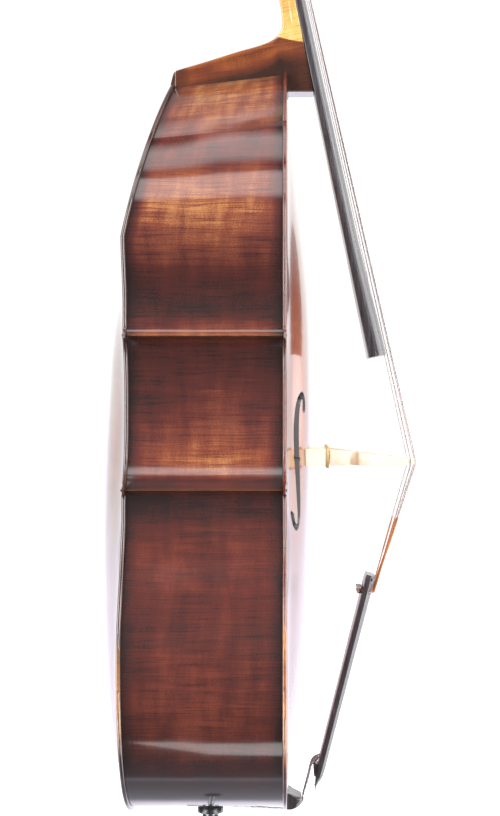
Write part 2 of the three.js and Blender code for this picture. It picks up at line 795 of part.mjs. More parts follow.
// The bridge above its adjusters, as a flat shape of x and y.
function bridgeShape() {
  const foot = WHEEL_Y - WHEEL_THICK / 2 - GAP;
  // One side from the foot up: the leg with its hook, the open kidney, the wing and the upper body.
  const side = (s) =>
    [
      [42, 0],
      [75, 0],
      [74.5, 21],
      [73, 26],
      [68, 31],
      [64, 30],
      [56, 25],
      [48, 26],
      [42, 32],
      [43, 39],
      [50, 44],
      [68, 41],
      [74, 44],
      [74, 65],
      [71, 68],
      [62, 69],
      [58, 74],
      [53, 92],
      [50, foot - crownY(50)],
    ].map(([x, up]) => [s * x, foot - up]);
  const right = side(1);
  const left = side(-1).toReversed();
  const crown = [30, 15, 0, -15, -30].map((x) => [x, crownY(x)]);
  const arch = [-30, -14, 14, 30].map((x) => [x, foot - 12 - (30 - Math.abs(x)) * 0.9]);
  const shape = new THREE.Shape();
  [...right, ...crown, ...left, ...arch].forEach(([x, y], i) =>
    i ? shape.lineTo(x, y) : shape.moveTo(x, y),
  );
  shape.closePath();
  // The heart in the middle.
  const heart = new THREE.Path().absellipse(0, foot - 64, 11, 15, 0, 2 * Math.PI);
  shape.holes.push(heart);
  return shape;
}

function makeBridge() {
  const flat = new THREE.ExtrudeGeometry(bridgeShape(), {
    depth: 1,
    bevelEnabled: false,
    curveSegments: 8,
  });
  const at = flat.attributes.position;
  for (let i = 0; i < at.count; i += 1) {
    const up = (WHEEL_Y - at.getY(i)) / (WHEEL_Y - BRIDGE_TOP_Y);
    const thick = THREE.MathUtils.lerp(BRIDGE_FOOT_THICK, BRIDGE_TOP_THICK, up);
    at.setZ(i, BRIDGE_Z + at.getZ(i) * thick);
  }
  const middleZ = BRIDGE_Z + BRIDGE_FOOT_THICK / 2;
  const along = (x, from, to, radius, sides) =>
    rod(new THREE.Vector3(x, from, middleZ), new THREE.Vector3(x, to, middleZ), radius, sides);
  const boreTop = WHEEL_Y - 24;
  const bores = [-LEG_X, LEG_X].map((x) => along(x, WHEEL_Y + 5, boreTop, STUD_RADIUS + 0.6, 12));
  part("bridge", cut(flat, ...bores), BRIDGE_MAPLE);

  for (const [label, side] of SIDES) {
    const x = side * LEG_X;
    const wheelLow = WHEEL_Y + WHEEL_THICK / 2;
    const wheel = along(x, wheelLow, WHEEL_Y - WHEEL_THICK / 2, WHEEL_RADIUS, 24);
    const stud = along(x, wheelLow + 9, boreTop + 2, STUD_RADIUS, 12);
    part(`bridge_adjuster_${label}`, join(wheel, stud), BRASS);

    // Each foot follows the arch of the top plate.
    const top = wheelLow + GAP;
    const profile = [
      [30, 4],
      [36, 6],
      [41, 14],
      [42, 60],
      [74, 60],
      [75, 14],
      [81, 6],
      [88, 4],
    ];
    const rings = profile.map(([fromMiddle, thick]) => {
      const fx = side * fromMiddle;
      const under = (z) => topY(fx, z) - 2 * GAP;
      const upper = Math.max(top, Math.min(under(BRIDGE_Z), under(BRIDGE_Z + 20)) - thick);
      return [
        new THREE.Vector3(fx, under(BRIDGE_Z), BRIDGE_Z),
        new THREE.Vector3(fx, under(BRIDGE_Z + BRIDGE_FOOT_THICK), BRIDGE_Z + BRIDGE_FOOT_THICK),
        new THREE.Vector3(fx, upper, BRIDGE_Z + BRIDGE_FOOT_THICK),
        new THREE.Vector3(fx, upper, BRIDGE_Z),
      ];
    });
    const socket = along(x, wheelLow + 10, wheelLow - 5, STUD_RADIUS + 0.6, 12);
    part(`bridge_foot_${label}`, cut(loft(rings), socket), BRIDGE_MAPLE);
  }
}

// ---------------------------------------------------------------- tailpiece and its wire
const tailFrame = new THREE.Group(); // at the tailpiece's top end, on its underside, +Z up along it
const TAIL_ANGLE = THREE.MathUtils.degToRad(-14.13);
const TAIL_LENGTH = 338;
tailFrame.rotation.x = -TAIL_ANGLE;
tailFrame.position.set(0, -237.5, 353);
body.add(tailFrame);
tailFrame.updateMatrix();
const fromTail = (x, y, z) => new THREE.Vector3(x, y, z).applyMatrix4(tailFrame.matrix);
const tailHalf = (z) => THREE.MathUtils.lerp(42, 23, -z / TAIL_LENGTH);
const HOLE_ALONG = -26; // the string holes, below the top end
const WIRE_X = 11;
const WIRE_RADIUS = 1.6;
// A point on the slanting hole that the wire takes through the tailpiece.
const wireHole = (x, t) => new THREE.Vector3(x, -5 + 8 * t, -286 - 5 * t);

function makeTailpiece() {
  // sink moves the underside back, and drop lowers the crown, where the bottom end is pared thin.
  const section = (z, sink = 0, drop = 0) => {
    const half = tailHalf(z);
    const ring = [new THREE.Vector3(-half, sink, z), new THREE.Vector3(half, sink, z)];
    const swell = 8 * (1 + 0.4 * (z / TAIL_LENGTH));
    const crown = (x) => Math.max(2 - sink, 8 + swell * (1 - (x / half) ** 2) - drop);
    for (let i = 0; i <= 8; i += 1) {
      const x = half * (1 - i / 4);
      ring.push(new THREE.Vector3(x, -crown(x), z));
    }
    return ring;
  };
  const main = loft([
    section(0),
    section(-150),
    section(-304),
    section(-318, -1.2, 0.5),
    section(-332, -3.2, 5.5),
    section(-TAIL_LENGTH, -4, 6.9),
  ]);
  // The wedge that keeps the wire off the tailpiece's end.
  const wedge = [
    [-6, -300],
    [6.9, -300],
    [6.9, -303],
    [1.5, -319],
    [-6, -319],
  ];
  const keel = sideProfile(wedge, 18);
  const holes = STRINGS.map((s) =>
    rod(
      new THREE.Vector3(s.tailX, 20, HOLE_ALONG),
      new THREE.Vector3(s.tailX, -30, HOLE_ALONG),
      3,
      10,
    ),
  );
  const wireHoles = [-WIRE_X, WIRE_X].map((x) =>
    rod(wireHole(x, 3), wireHole(x, -0.15), WIRE_RADIUS + 0.9, 10),
  );
  part("tailpiece", cut(join(main, keel), ...holes, ...wireHoles), EBONY, tailFrame);

  // One length of wire: out of the tailpiece, over the saddle, round the end pin's collar and back.
  const half = [
    fromTail(...wireHole(WIRE_X, 0)),
    fromTail(...wireHole(WIRE_X, 1)),
    fromTail(WIRE_X, 9.4, -300),
    new THREE.Vector3(WIRE_X + 0.5, -141.9, 13.2),
    new THREE.Vector3(WIRE_X + 0.8, -142, 9.2),
    new THREE.Vector3(WIRE_X + 1.2, -138.8, 2.8),
    new THREE.Vector3(WIRE_X + 1.8, -131.2, -3),
    new THREE.Vector3(WIRE_X + 2.2, -121.6, -5.6),
    new THREE.Vector3(WIRE_X + 3, -100, -4.6),
  ];
  const wrap = COLLAR_NECK + WIRE_RADIUS + 0.5;
  const loop = [];
  for (let i = 0; i <= 12; i += 1) {
    const turn = (Math.PI * i) / 12;
    loop.push(new THREE.Vector3(wrap * Math.cos(turn), wrap * Math.sin(turn), 1.2));
  }
  const line = [...half, ...loop, ...half.toReversed().map((p) => p.clone().setX(-p.x))];
  part("tail_wire", tube(line, WIRE_RADIUS, 6), STEEL);
}

// ---------------------------------------------------------------- end pin
function makeEndPin() {
  const bore = PIN_RADIUS + 0.7;
  const collar = turned(
    [
      [bore, -14],
      [20, -14],
      [20, -3],
      [COLLAR_NECK, -1.5],
      [COLLAR_NECK, 5],
      [13.5, 74],
      [bore, 74],
      [bore, -14],
    ],
    24,
  );
  part("endpin_collar", collar, EBONY);
  const ferrule = turned(
    [
      [bore, -36],
      [11.5, -36],
      [12.5, -34],
      [12.5, -14 - GAP],
      [bore, -14 - GAP],
      [bore, -36],
    ],
    24,
  );
  const screwZ = -25;
  const screwAxis = (from, to, radius, sides) =>
    rod(new THREE.Vector3(0, from, screwZ), new THREE.Vector3(0, to, screwZ), radius, sides);
  part("endpin_ferrule", cut(ferrule, screwAxis(0, 30, 3.2, 12)), STEEL);
  const stem = screwAxis(PIN_RADIUS + GAP, 26, 2.5, 12);
  const hub = screwAxis(19, 27, 5, 12);
  const wing = block([-13, 25, screwZ - 2], [13, 36, screwZ + 2]);
  part("endpin_thumbscrew", join(stem, hub, wing), STEEL);

  const rodLow = 12 - BODY_Z;
  part(
    "endpin_rod",
    rod(new THREE.Vector3(0, 0, rodLow), new THREE.Vector3(0, 0, rodLow + 430), PIN_RADIUS, 20),
    STEEL,
  );
  const tip = turned(
    [
      [0, -BODY_Z],
      [13, -BODY_Z],
      [14, -BODY_Z + 4],
      [9, -BODY_Z + 34],
      [PIN_RADIUS + GAP, -BODY_Z + 34],
      [PIN_RADIUS + GAP, rodLow - GAP],
      [0, rodLow - GAP],
    ],
    20,
  );
  part("endpin_tip", tip, RUBBER);
}

// ---------------------------------------------------------------- tuning machines
// Each machine is drawn for a gear on the +X side, then mirrored where it sits on the other.
function gearBlank(tuner) {
  const rings = [];
  const lean = Math.atan(WORM_LEAD / (2 * Math.PI * WORM_RADIUS));
  for (const end of [-1, 1]) {
    const twist = (end * (GEAR_THICK / 2) * Math.tan(lean)) / GEAR_PITCH_RADIUS;
    const ring = [];
    for (let k = 0; k < GEAR_TEETH; k += 1) {
      const middle = ((k + 0.5) * 2 * Math.PI) / GEAR_TEETH + twist;
      const tooth = [
        [-0.3, GEAR_PITCH_RADIUS - TOOTH_DEPTH - 0.5],
        [-0.13, GEAR_PITCH_RADIUS + TOOTH_DEPTH],
        [0.13, GEAR_PITCH_RADIUS + TOOTH_DEPTH],
        [0.3, GEAR_PITCH_RADIUS - TOOTH_DEPTH - 0.5],
      ];
      for (const [share, radius] of tooth) {
        const angle = middle + (share * 2 * Math.PI) / GEAR_TEETH;
        ring.push(
          new THREE.Vector3(
            GEAR_X + (end * GEAR_THICK) / 2,
            PEG_Y + radius * Math.sin(angle),
            tuner.along + radius * Math.cos(angle),
          ),
        );
      }
    }
    rings.push(ring);
  }
  return loft(rings);
}

// A worm with a real thread, along Y, with its shaft and the key on its end.
function wormAndKey(tuner) {
  const z = tuner.along + GEAR_PITCH_RADIUS + WORM_RADIUS + 0.2;
  const perTurn = 12;
  const outer = WORM_RADIUS + TOOTH_DEPTH;
  const inner = WORM_RADIUS - TOOTH_DEPTH - 0.4;
  const rings = [];
  for (let i = 0; i <= WORM_TURNS * perTurn; i += 1) {
    const turns = i / perTurn - WORM_TURNS / 2;
    const angle = 2 * Math.PI * turns;
    const y = PEG_Y + turns * WORM_LEAD;
    const at = (radius, offset) =>
      new THREE.Vector3(GEAR_X + radius * Math.sin(angle), y + offset, z - radius * Math.cos(angle));
    rings.push([at(inner - 1, -1.5), at(outer, -0.55), at(outer, 0.55), at(inner - 1, 1.5)]);
  }
  const along = (from, to, radius, sides) =>
    rod(new THREE.Vector3(GEAR_X, from, z), new THREE.Vector3(GEAR_X, to, z), radius, sides);
  const reach = (WORM_TURNS * WORM_LEAD) / 2;
  const core = along(PEG_Y - reach - 1.5, PEG_Y + reach + 1.5, inner, 14);
  const shaft = along(PEG_Y - 20, PEG_Y + 56, 3, 12);
  const wing = new THREE.Shape();
  wing.moveTo(-4, 46);
  wing.bezierCurveTo(-6, 52, -17, 50, -17, 62);
  wing.bezierCurveTo(-17, 74, -6, 74, 0, 68);
  wing.bezierCurveTo(6, 74, 17, 74, 17, 62);
  wing.bezierCurveTo(17, 50, 6, 52, 4, 46);
  wing.closePath();
  const key = new THREE.ExtrudeGeometry(wing, { depth: 4, bevelEnabled: false, curveSegments: 4 });
  key.translate(GEAR_X, PEG_Y, z - 2);
  return join(loft(rings), core, shaft, key);
}

// The base plate with the two lugs that carry the worm.
function machinePlate(tuner) {
  const foot = CHEEK_X - 2 + GAP;
  const z = tuner.along;
  const wormZ = z + GEAR_PITCH_RADIUS + WORM_RADIUS + 0.2;
  const base = block([foot, PEG_Y - 20, z - 14], [foot + 2.5, PEG_Y + 20, wormZ + 6]);
  const lugs = [-1, 1].map((s) => {
    const middle = PEG_Y + s * 15.5;
    return block([foot + 2, middle - 2.5, wormZ - 5], [GEAR_X + 5, middle + 2.5, wormZ + 5]);
  });
  const wormHole = rod(
    new THREE.Vector3(GEAR_X, PEG_Y - 30, wormZ),
    new THREE.Vector3(GEAR_X, PEG_Y + 30, wormZ),
    3.6,
    12,
  );
  return cut(join(base, ...lugs), wormHole, pegAxis(tuner, 0, 60, PEG_RADIUS + 0.7, 20));
}

function makeTuners() {
  for (const tuner of TUNERS) {
    const sided = (geometry) => (tuner.side > 0 ? geometry : mirrored(geometry));
    const roller = pegAxis(tuner, -(CHEEK_X - 2.5), GEAR_X - GEAR_THICK / 2 - GAP, PEG_RADIUS, 20);
    const squareEnd = block(
      [GEAR_X - GEAR_THICK, PEG_Y - 3, tuner.along - 3],
      [GEAR_X + GEAR_THICK / 2, PEG_Y + 3, tuner.along + 3],
    );
    const seat = block(
      [GEAR_X - 10, PEG_Y - 3 - GAP, tuner.along - 3 - GAP],
      [GEAR_X + 10, PEG_Y + 3 + GAP, tuner.along + 3 + GAP],
    );
    part(`peg_${tuner.name}`, sided(join(roller, squareEnd)), STEEL, neckFrame);
    part(`peg_gear_${tuner.name}`, sided(cut(gearBlank(tuner), seat)), BRASS, neckFrame);
    part(`worm_key_${tuner.name}`, sided(wormAndKey(tuner)), BRASS, neckFrame);
    part(`machine_plate_${tuner.name}`, sided(machinePlate(tuner)), BRASS, neckFrame);
  }
}

// ---------------------------------------------------------------- strings
function makeStrings() {
  for (const string of STRINGS) {
    const tuner = TUNERS.find((t) => t.name === string.name);
    const r = string.radius;
    const lift = r + GAP;
    const nutTop = boardTop(Math.abs(string.nutX) - r, 0) + NUT_RISE + lift;
    const bridgeTop = crownY(Math.abs(string.bridgeX) - r) - lift;
    const perTurn = 10;
    const coil = (PEG_RADIUS + lift) / Math.cos(Math.PI / perTurn);
    const coilX = string.nutX * 0.55;
    const drift = -tuner.side * (2 * r + 0.4); // how far each turn moves along the peg
    const line = [
      fromTail(string.tailX, 8, HOLE_ALONG),
      fromTail(string.tailX, 2.5, HOLE_ALONG),
      fromTail(string.tailX, 2, HOLE_ALONG),
      fromTail(string.tailX, -15, HOLE_ALONG + 1),
      fromTail(string.tailX, -17.5, HOLE_ALONG + 4),
      new THREE.Vector3(string.bridgeX, bridgeTop, BRIDGE_Z - 0.4),
      new THREE.Vector3(string.bridgeX, bridgeTop, BRIDGE_Z + BRIDGE_TOP_THICK + 1.6),
      fromNeck(string.nutX, -nutTop, 0),
      fromNeck(string.nutX, -nutTop, 8.8),
    ];
    const radii = [3.9, 3.9, r, r, r, r, r, r, r];
    for (let i = 0; i <= COIL_TURNS * perTurn; i += 1) {
      // It meets the peg at its front and winds over it.
      const angle = (2 * Math.PI * i) / perTurn - 0.3;
      line.push(
        fromNeck(
          coilX + (drift * i) / perTurn,
          PEG_Y - coil * Math.cos(angle),
          tuner.along + coil * Math.sin(angle),
        ),
      );
      radii.push(r);
    }
    part(`string_${string.name}`, tube(line, radii, 6), STRING_STEEL);
  }
}

makePlates();
makeRibs();
makeInside();
makeNeck();
makeBoard();
makeBridge();
makeTailpiece();
makeEndPin();
makeTuners();
makeStrings();

export default bass;
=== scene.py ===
"""A three-quarter double bass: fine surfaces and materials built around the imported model."""
import json
import math

import bmesh
import bpy
import numpy as np
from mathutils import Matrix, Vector


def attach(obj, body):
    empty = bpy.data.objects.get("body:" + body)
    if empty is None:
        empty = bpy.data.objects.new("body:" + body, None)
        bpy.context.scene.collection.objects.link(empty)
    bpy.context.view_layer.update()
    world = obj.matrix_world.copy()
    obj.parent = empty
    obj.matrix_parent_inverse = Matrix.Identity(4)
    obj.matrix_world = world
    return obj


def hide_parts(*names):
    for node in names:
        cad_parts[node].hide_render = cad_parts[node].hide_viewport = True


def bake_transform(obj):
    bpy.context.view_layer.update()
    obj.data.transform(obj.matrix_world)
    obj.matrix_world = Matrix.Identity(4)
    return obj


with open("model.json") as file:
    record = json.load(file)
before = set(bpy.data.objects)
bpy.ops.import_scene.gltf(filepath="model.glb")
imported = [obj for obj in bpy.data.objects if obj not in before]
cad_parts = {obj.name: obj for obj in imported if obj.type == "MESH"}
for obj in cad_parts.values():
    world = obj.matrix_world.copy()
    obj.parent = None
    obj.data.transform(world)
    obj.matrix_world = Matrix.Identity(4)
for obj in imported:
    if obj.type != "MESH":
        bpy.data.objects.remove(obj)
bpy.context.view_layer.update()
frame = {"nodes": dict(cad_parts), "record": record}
ROOT = "instrument"
MM = 0.001
SCENE = bpy.context.scene
NODE_BODY = {n: b for b, nodes in frame["record"]["behaviour"]["bodies"].items() for n in nodes}
SIDES = (("bass", -1), ("treble", 1))

# ------------------------------------------------------------------ the body's shape, in mm
BODY_Z = 180
BODY_LENGTH = 1115
RIB_DEPTH = 221
GAP = 0.3
PLATE_EDGE = 6.5
OVERHANG = 6
CORNER_REACH = 5
BACK_BREAK = 847
BACK_BEND = math.radians(13)
BACK_DROP = 20
HEEL_HALF = 28
HEEL_BOTTOM = 1085
FRONT_Y = -RIB_DEPTH / 2
TOP_FACE = FRONT_Y - GAP - PLATE_EDGE


def smooth(t):
    """From 0 to 1 with level ends."""
    t = np.clip(t, 0, 1)
    return t * t * (3 - 2 * t)


def run_along(points):
    """Each point's distance along a line of points."""
    return np.concatenate([[0], np.cumsum(np.linalg.norm(np.diff(points, axis=0), axis=1))])


def read_off(points, run, at):
    """The places at given distances along a line of points."""
    return np.stack([np.interp(at, run, column) for column in points.T], -1)


def read_table(table, at, column=1):
    return np.interp(at, table[:, 0], table[:, column])


def right_of(along):
    """The direction to the right of another one."""
    return np.stack([along[..., 1], -along[..., 0]], -1)


def spline(table, count=40):
    """A table of (where, value) rounded off with Catmull-Rom curves."""
    table = np.asarray(table, float)
    p = np.concatenate([[2 * table[0] - table[1]], table, [2 * table[-1] - table[-2]]])
    t = np.linspace(0, 1, count, endpoint=False)[:, None]
    out = []
    for a, b, c, d in zip(p, p[1:], p[2:], p[3:]):
        square = 2 * a - 5 * b + 4 * c - d
        cube = 3 * b - a - 3 * c + d
        out.append(0.5 * (2 * b + (c - a) * t + square * t ** 2 + cube * t ** 3))
    return np.concatenate(out + [table[-1:]])


class Outline:
    """A run of Bezier curves in x and height, which points can be read off by their share of its length."""

    def __init__(self, start, *curves):
        points = [np.array([start], float)]
        t = np.linspace(0, 1, 240)[1:, None]
        for curve in curves:
            p0, p1, p2, p3 = points[-1][-1], *np.reshape(curve, (3, 2))
            left = 1 - t
            points.append(left ** 3 * p0 + 3 * t * left ** 2 * p1 + 3 * t * t * left * p2 + t ** 3 * p3)
        self.points = np.concatenate(points)
        self.run = run_along(self.points)
        self.length = self.run[-1]

    def at(self, share, offset=0.0):
        """The places at shares of the length, moved out by offset, and the directions there."""
        run = np.asarray(share) * self.length
        near = [read_off(self.points, self.run, np.clip(run + step, 0, self.length)) for step in (-1, 1)]
        along = near[1] - near[0]
        along /= np.linalg.norm(along, axis=-1, keepdims=True)
        return read_off(self.points, self.run, run) + offset * right_of(along), along


def closed_curve(start, *curves):
    """The points of a smooth closed outline."""
    return Outline(start, *curves).points[::10][:-1]


LOWER = Outline((0, 6), (190, 6, 330, 95, 330, 252), (330, 345, 234, 385, 234, 452),
                (234, 470, 238, 487.5, 250, 489))
WAIST = Outline((250, 489), (214, 493, 181, 540, 181, 600), (181, 652, 203, 699, 229, 708))
UPPER = Outline((229, 708), (219, 710, 214, 725, 214, 746), (214, 785, 254, 812, 254, 868),
                (254, 962, 132, 1062, HEEL_HALF + GAP, 1110))


def edge_line(counts, offset=OVERHANG, reach=CORNER_REACH, start=0.03):
    """The right half of a plate's edge, or of a line that keeps its distance from it."""
    parts = []
    for outline, count, first in zip((LOWER, WAIST, UPPER), counts, (start, 0, 0)):
        points, along = outline.at(np.linspace(first, 1, count), offset)
        parts += [[points[0] - reach * along[0]], points, [points[-1] + reach * along[-1]]]
    return np.concatenate(parts[1:-1])


# Half the width of the arched area, and the height of the arch along the middle.
SPAN = spline([(0, 60), (40, 196), (120, 294), (252, 330), (390, 276), (490, 208), (602, 181), (708, 202),
               (868, 254), (980, 206), (1060, 124), (1115, 48)])
TOP_ARCHING = spline([(0, 0), (81, 4.5), (164, 13.5), (247, 22.5), (357, 28.5), (495, 33.5), (640, 35),
                      (743, 33.5), (825, 27.5), (908, 18), (991, 9), (1115, 0)])
# The back is arched below its bend and flat above it.
BACK_ARCHING = spline([(0, 0), (70, 16), (164, 29), (274, 36), (400, 40.5), (520, 39.5), (633, 34), (715, 27),
                       (770, 16), (BACK_BREAK, 2), (960, 0.5), (1115, 0)])


def rise(x, z, arching=TOP_ARCHING):
    """How far a plate's arch stands out."""
    out = np.minimum(1, np.abs(x) / read_table(SPAN, z))
    return read_table(arching, z) * np.cos(np.pi / 2 * out ** 1.5) ** 2


def channel(gap):
    """The depth of the shallow channel inside a plate's edge."""
    return 1.4 * np.exp(-((gap - 14) / 8) ** 2)


def top_y(x, z):
    return TOP_FACE - rise(x, z)


def on_ribs(x, z, share):
    """The place on the ribs a share of the way from the front edge to the back edge."""
    x, z, share = np.broadcast_arrays(np.asarray(x, float), z, share)
    dropped = z - BACK_DROP * smooth((z - BACK_BREAK) / (BODY_LENGTH - BACK_BREAK))
    back = -FRONT_Y - np.maximum(0, dropped - BACK_BREAK) * math.tan(BACK_BEND)
    y = FRONT_Y + (back - FRONT_Y) * share
    return np.stack([x, y, z + (dropped - z) * share], -1)


# ------------------------------------------------------------------ frames of the neck and the tailpiece
NECK_ANGLE = math.radians(11.53)
NECK_SEAT_Y = -158.2
STOP_TO_NUT = 478.7
BOARD_LENGTH = STOP_TO_NUT + 412.5
BOARD_RADIUS = 66
BOARD_HALF_AT_NUT = 21.5
BOARD_SPREAD = 22
NECK_AT = np.array([0, NECK_SEAT_Y + STOP_TO_NUT * math.sin(NECK_ANGLE),
                    HEEL_BOTTOM + STOP_TO_NUT * math.cos(NECK_ANGLE)])
TAIL_ANGLE = math.radians(-14.13)
TAIL_AT = np.array([0, -237.5, 353])
TAIL_LENGTH = 338


def turned_frame(angle, at):
    """How to get from a frame turned about X to the body's, and back."""
    c, s = math.cos(angle), math.sin(angle)
    matrix = np.array([[1, 0, 0], [0, c, s], [0, -s, c]])
    return lambda p: np.asarray(p, float) @ matrix.T + at, lambda p: (np.asarray(p, float) - at) @ matrix


from_neck, to_neck = turned_frame(NECK_ANGLE, NECK_AT)
from_tail = turned_frame(TAIL_ANGLE, TAIL_AT)[0]


def board_half(z):
    return BOARD_HALF_AT_NUT - np.asarray(z) * BOARD_SPREAD / BOARD_LENGTH


def board_top(x, z):
    edge = 9 + 3.5 * smooth((-np.asarray(z) - 700) / 190)
    return edge + np.sqrt(BOARD_RADIUS ** 2 - x * x) - np.sqrt(BOARD_RADIUS ** 2 - board_half(z) ** 2)


# ------------------------------------------------------------------ material helpers
def srgb(*colour):
    """A colour given as 0 to 255, as the shader wants it."""
    return tuple(((v / 255 + 0.055) / 1.055) ** 2.4 if v > 10 else v / 255 / 12.92 for v in colour) + (1,)


def shades(*stops):
    """Colour stops, each given as its place and its colour."""
    return [(place, srgb(*colour)) for place, *colour in stops]


class Shader:
    """The node tree of a material or a world, with short calls to add nodes to it."""

    def __init__(self, owner):
        owner.use_nodes = True
        self.owner = owner
        self.tree = owner.node_tree
        self.tree.nodes.clear()

    def add(self, kind, inputs=None, out=0, **settings):
        node = self.tree.nodes.new("ShaderNode" + kind)
        for key, value in settings.items():
            setattr(node, key, value)
        for key, value in (inputs or {}).items():
            socket = node.inputs[key]
            if isinstance(value, bpy.types.NodeSocket):
                self.tree.links.new(value, socket)
            else:
                socket.default_value = value
        return node.outputs if out is None else node.outputs[out]

    def value(self, name):
        return self.add("Attribute", out=2, attribute_name=name)

    def math(self, operation, a, b=0.0, c=0.0, clamp=False):
        return self.add("Math", {0: a, 1: b, 2: c}, operation=operation, use_clamp=clamp)

    def times(self, a, b, clamp=False):
        return self.math("MULTIPLY", a, b, clamp=clamp)

    def line(self, x, gain, base, clamp=False):
        """x times gain, plus base."""
        return self.math("MULTIPLY_ADD", x, gain, base, clamp)

    def swing(self, noise, gain, base, clamp=False):
        """A noise's swing about its middle, times gain, plus base."""
        return self.line(self.math("SUBTRACT", noise, 0.5), gain, base, clamp)

    def noise(self, vector, detail, roughness=0.5):
        inputs = {"Vector": vector, "Scale": 1.0, "Detail": detail, "Roughness": roughness}
        return self.add("TexNoise", inputs)

    def grain(self, u, v, per_u, per_v, detail, roughness=0.5):
        """Noise along and across the grain."""
        vector = self.add("CombineXYZ", {0: self.times(u, per_u), 1: self.times(v, per_v)})
        return self.noise(vector, detail, roughness)

    def scaled(self, *scale):
        return self.add("Mapping", {"Vector": self.add("TexCoord", out=3), "Scale": scale})

    def cloud(self, x, y, z, detail, roughness=0.5):
        """Noise in the object's space, so many to the metre each way."""
        return self.noise(self.scaled(x, y, z), detail, roughness)

    def ramp(self, factor, stops, smoothly=False):
        node = self.tree.nodes.new("ShaderNodeValToRGB")
        self.tree.links.new(factor, node.inputs[0])
        node.color_ramp.interpolation = "EASE" if smoothly else "LINEAR"
        elements = node.color_ramp.elements
        while len(elements) < len(stops):
            elements.new(0.5)
        for element, (place, colour) in zip(elements, stops):
            element.position = place
            element.color = colour if isinstance(colour, tuple) else (colour,) * 3 + (1,)
        return node.outputs[0]

    def between(self, noise, low, high, start=0.3, end=0.7):
        return self.ramp(noise, [(start, low), (end, high)])

    def mix(self, factor, a, b, blend="MIX"):
        return self.add("Mix", {0: factor, 6: a, 7: b}, out=2, data_type="RGBA", blend_type=blend)

    def glancing(self):
        """How much the varnish hides the wood, which is most where the surface is seen almost edge on."""
        return self.between(self.add("LayerWeight", {"Blend": 0.5}, out=1), 0.0, 0.65, 0.58, 0.82)

    def finish(self, colour, roughness, height, bump, distance, **constants):
        inputs = {"Base Color": colour, "Roughness": roughness}
        inputs["Normal"] = self.add("Bump", {"Height": height, "Strength": bump, "Distance": distance})
        inputs.update((key.replace("_", " "), value) for key, value in constants.items())
        return self.output(self.add("BsdfPrincipled", inputs))

    def output(self, shader, kind="OutputMaterial"):
        self.add(kind, {"Surface": shader}, None)
        return self.owner


def new_shader(name):
    return Shader(bpy.data.materials.new(name))


# ------------------------------------------------------------------ materials
# Varnish seen edge on, maple and spruce where the varnish is worn through, and the f-holes' walls.
DEEP_VARNISH = srgb(58, 44, 42)
BARE_MAPLE = srgb(205, 138, 72)
BARE_SPRUCE = srgb(214, 140, 62)
HOLE_WALL = srgb(104, 99, 100)


def varnished_maple(name, stops, flame, wear=0.5):
    """Flamed maple under varnish. wood_u runs along the grain and wood_v across it, in metres,
    and tone says how far the varnish has been rubbed or shaded towards gold."""
    s = new_shader(name)
    u, v, shade = s.value("wood_u"), s.value("wood_v"), s.value("tone")
    across = s.line(s.grain(u, v, 5, 6, 2), 0.008, u)
    stripes = s.grain(across, v, 420, 13, 3, 0.6)
    broad = s.grain(across, v, 70, 6, 3, 0.55)
    patches = s.grain(u, v, 9, 34, 3, 0.55)
    weave = s.grain(across, v, 620, 420, 2, 0.6)
    pores = s.grain(u, v, 60, 1300, 2, 0.6)
    streak = s.math("SUBTRACT", s.ramp(stripes, [(0.34, 0.0), (0.46, 0.6), (0.7, 1.0)]), 0.6)
    figure = s.swing(patches, 1.5, s.swing(weave, 1.0, s.swing(broad, 0.9, s.times(streak, 0.6))))
    # Dark flames stand out most where the varnish is light.
    tone = s.line(s.times(figure, s.line(shade, 1.1, 0.25)), flame, shade)
    tone = s.swing(s.cloud(8, 8, 12, 4, 0.6), 0.3, tone, clamp=True)
    colour = s.mix(0.5, s.ramp(tone, stops), s.between(pores, 0.66, 1.0, 0.34, 0.5), "MULTIPLY")
    rubbed = s.line(s.cloud(60, 60, 90, 4, 0.65), 1.6, -0.25, clamp=True)
    worn = s.times(s.value("wear"), rubbed, clamp=True)
    colour = s.mix(s.times(worn, wear), colour, BARE_MAPLE)
    colour = s.mix(s.glancing(), colour, DEEP_VARNISH)
    # The thin wood is not quite flat, so the lights bend a little in it.
    waves = s.line(s.cloud(9, 11, 7, 1), 14.0, s.cloud(30, 30, 18, 3))
    rough = s.between(s.cloud(16, 16, 16, 5, 0.6), 0.1, 0.22)
    return s.finish(colour, rough, s.line(pores, 0.25, waves), 0.16, 0.001,
                    Coat_Weight=0.75, Coat_Roughness=0.08, Coat_IOR=1.5)


def varnished_spruce(name):
    """Straight-grained spruce under amber varnish, shaded dark round the edge."""
    s = new_shader(name)
    u, v = s.value("wood_u"), s.value("wood_v")
    grain = s.grain(u, s.line(s.grain(u, v, 2.5, 5, 2), 0.006, v), 2.2, 520, 3, 0.65)
    silk = s.grain(u, v, 60, 9, 3, 0.6)
    tone = s.swing(s.cloud(6, 6, 8, 4, 0.6), 0.3, s.value("tone"))
    colour = s.ramp(s.swing(silk, 0.12, tone, clamp=True),
                    shades((0, 74, 32, 26), (0.4, 140, 58, 36), (0.75, 178, 88, 50), (1, 204, 120, 68)))
    colour = s.mix(0.8, colour, s.between(grain, srgb(150, 120, 105), 1.0, 0.38, 0.52), "MULTIPLY")
    rubbed = s.line(s.cloud(50, 50, 34, 4, 0.65), 2.2, -0.55, clamp=True)
    colour = s.mix(s.times(s.value("wear"), rubbed, clamp=True), colour, BARE_SPRUCE)
    colour = s.mix(s.glancing(), colour, DEEP_VARNISH)
    colour = s.mix(s.value("wall"), colour, HOLE_WALL)
    rough = s.between(s.cloud(14, 14, 14, 5, 0.6), 0.1, 0.2)
    return s.finish(colour, rough, grain, 0.12, 0.0006, Coat_Weight=0.8, Coat_Roughness=0.06, Coat_IOR=1.5)


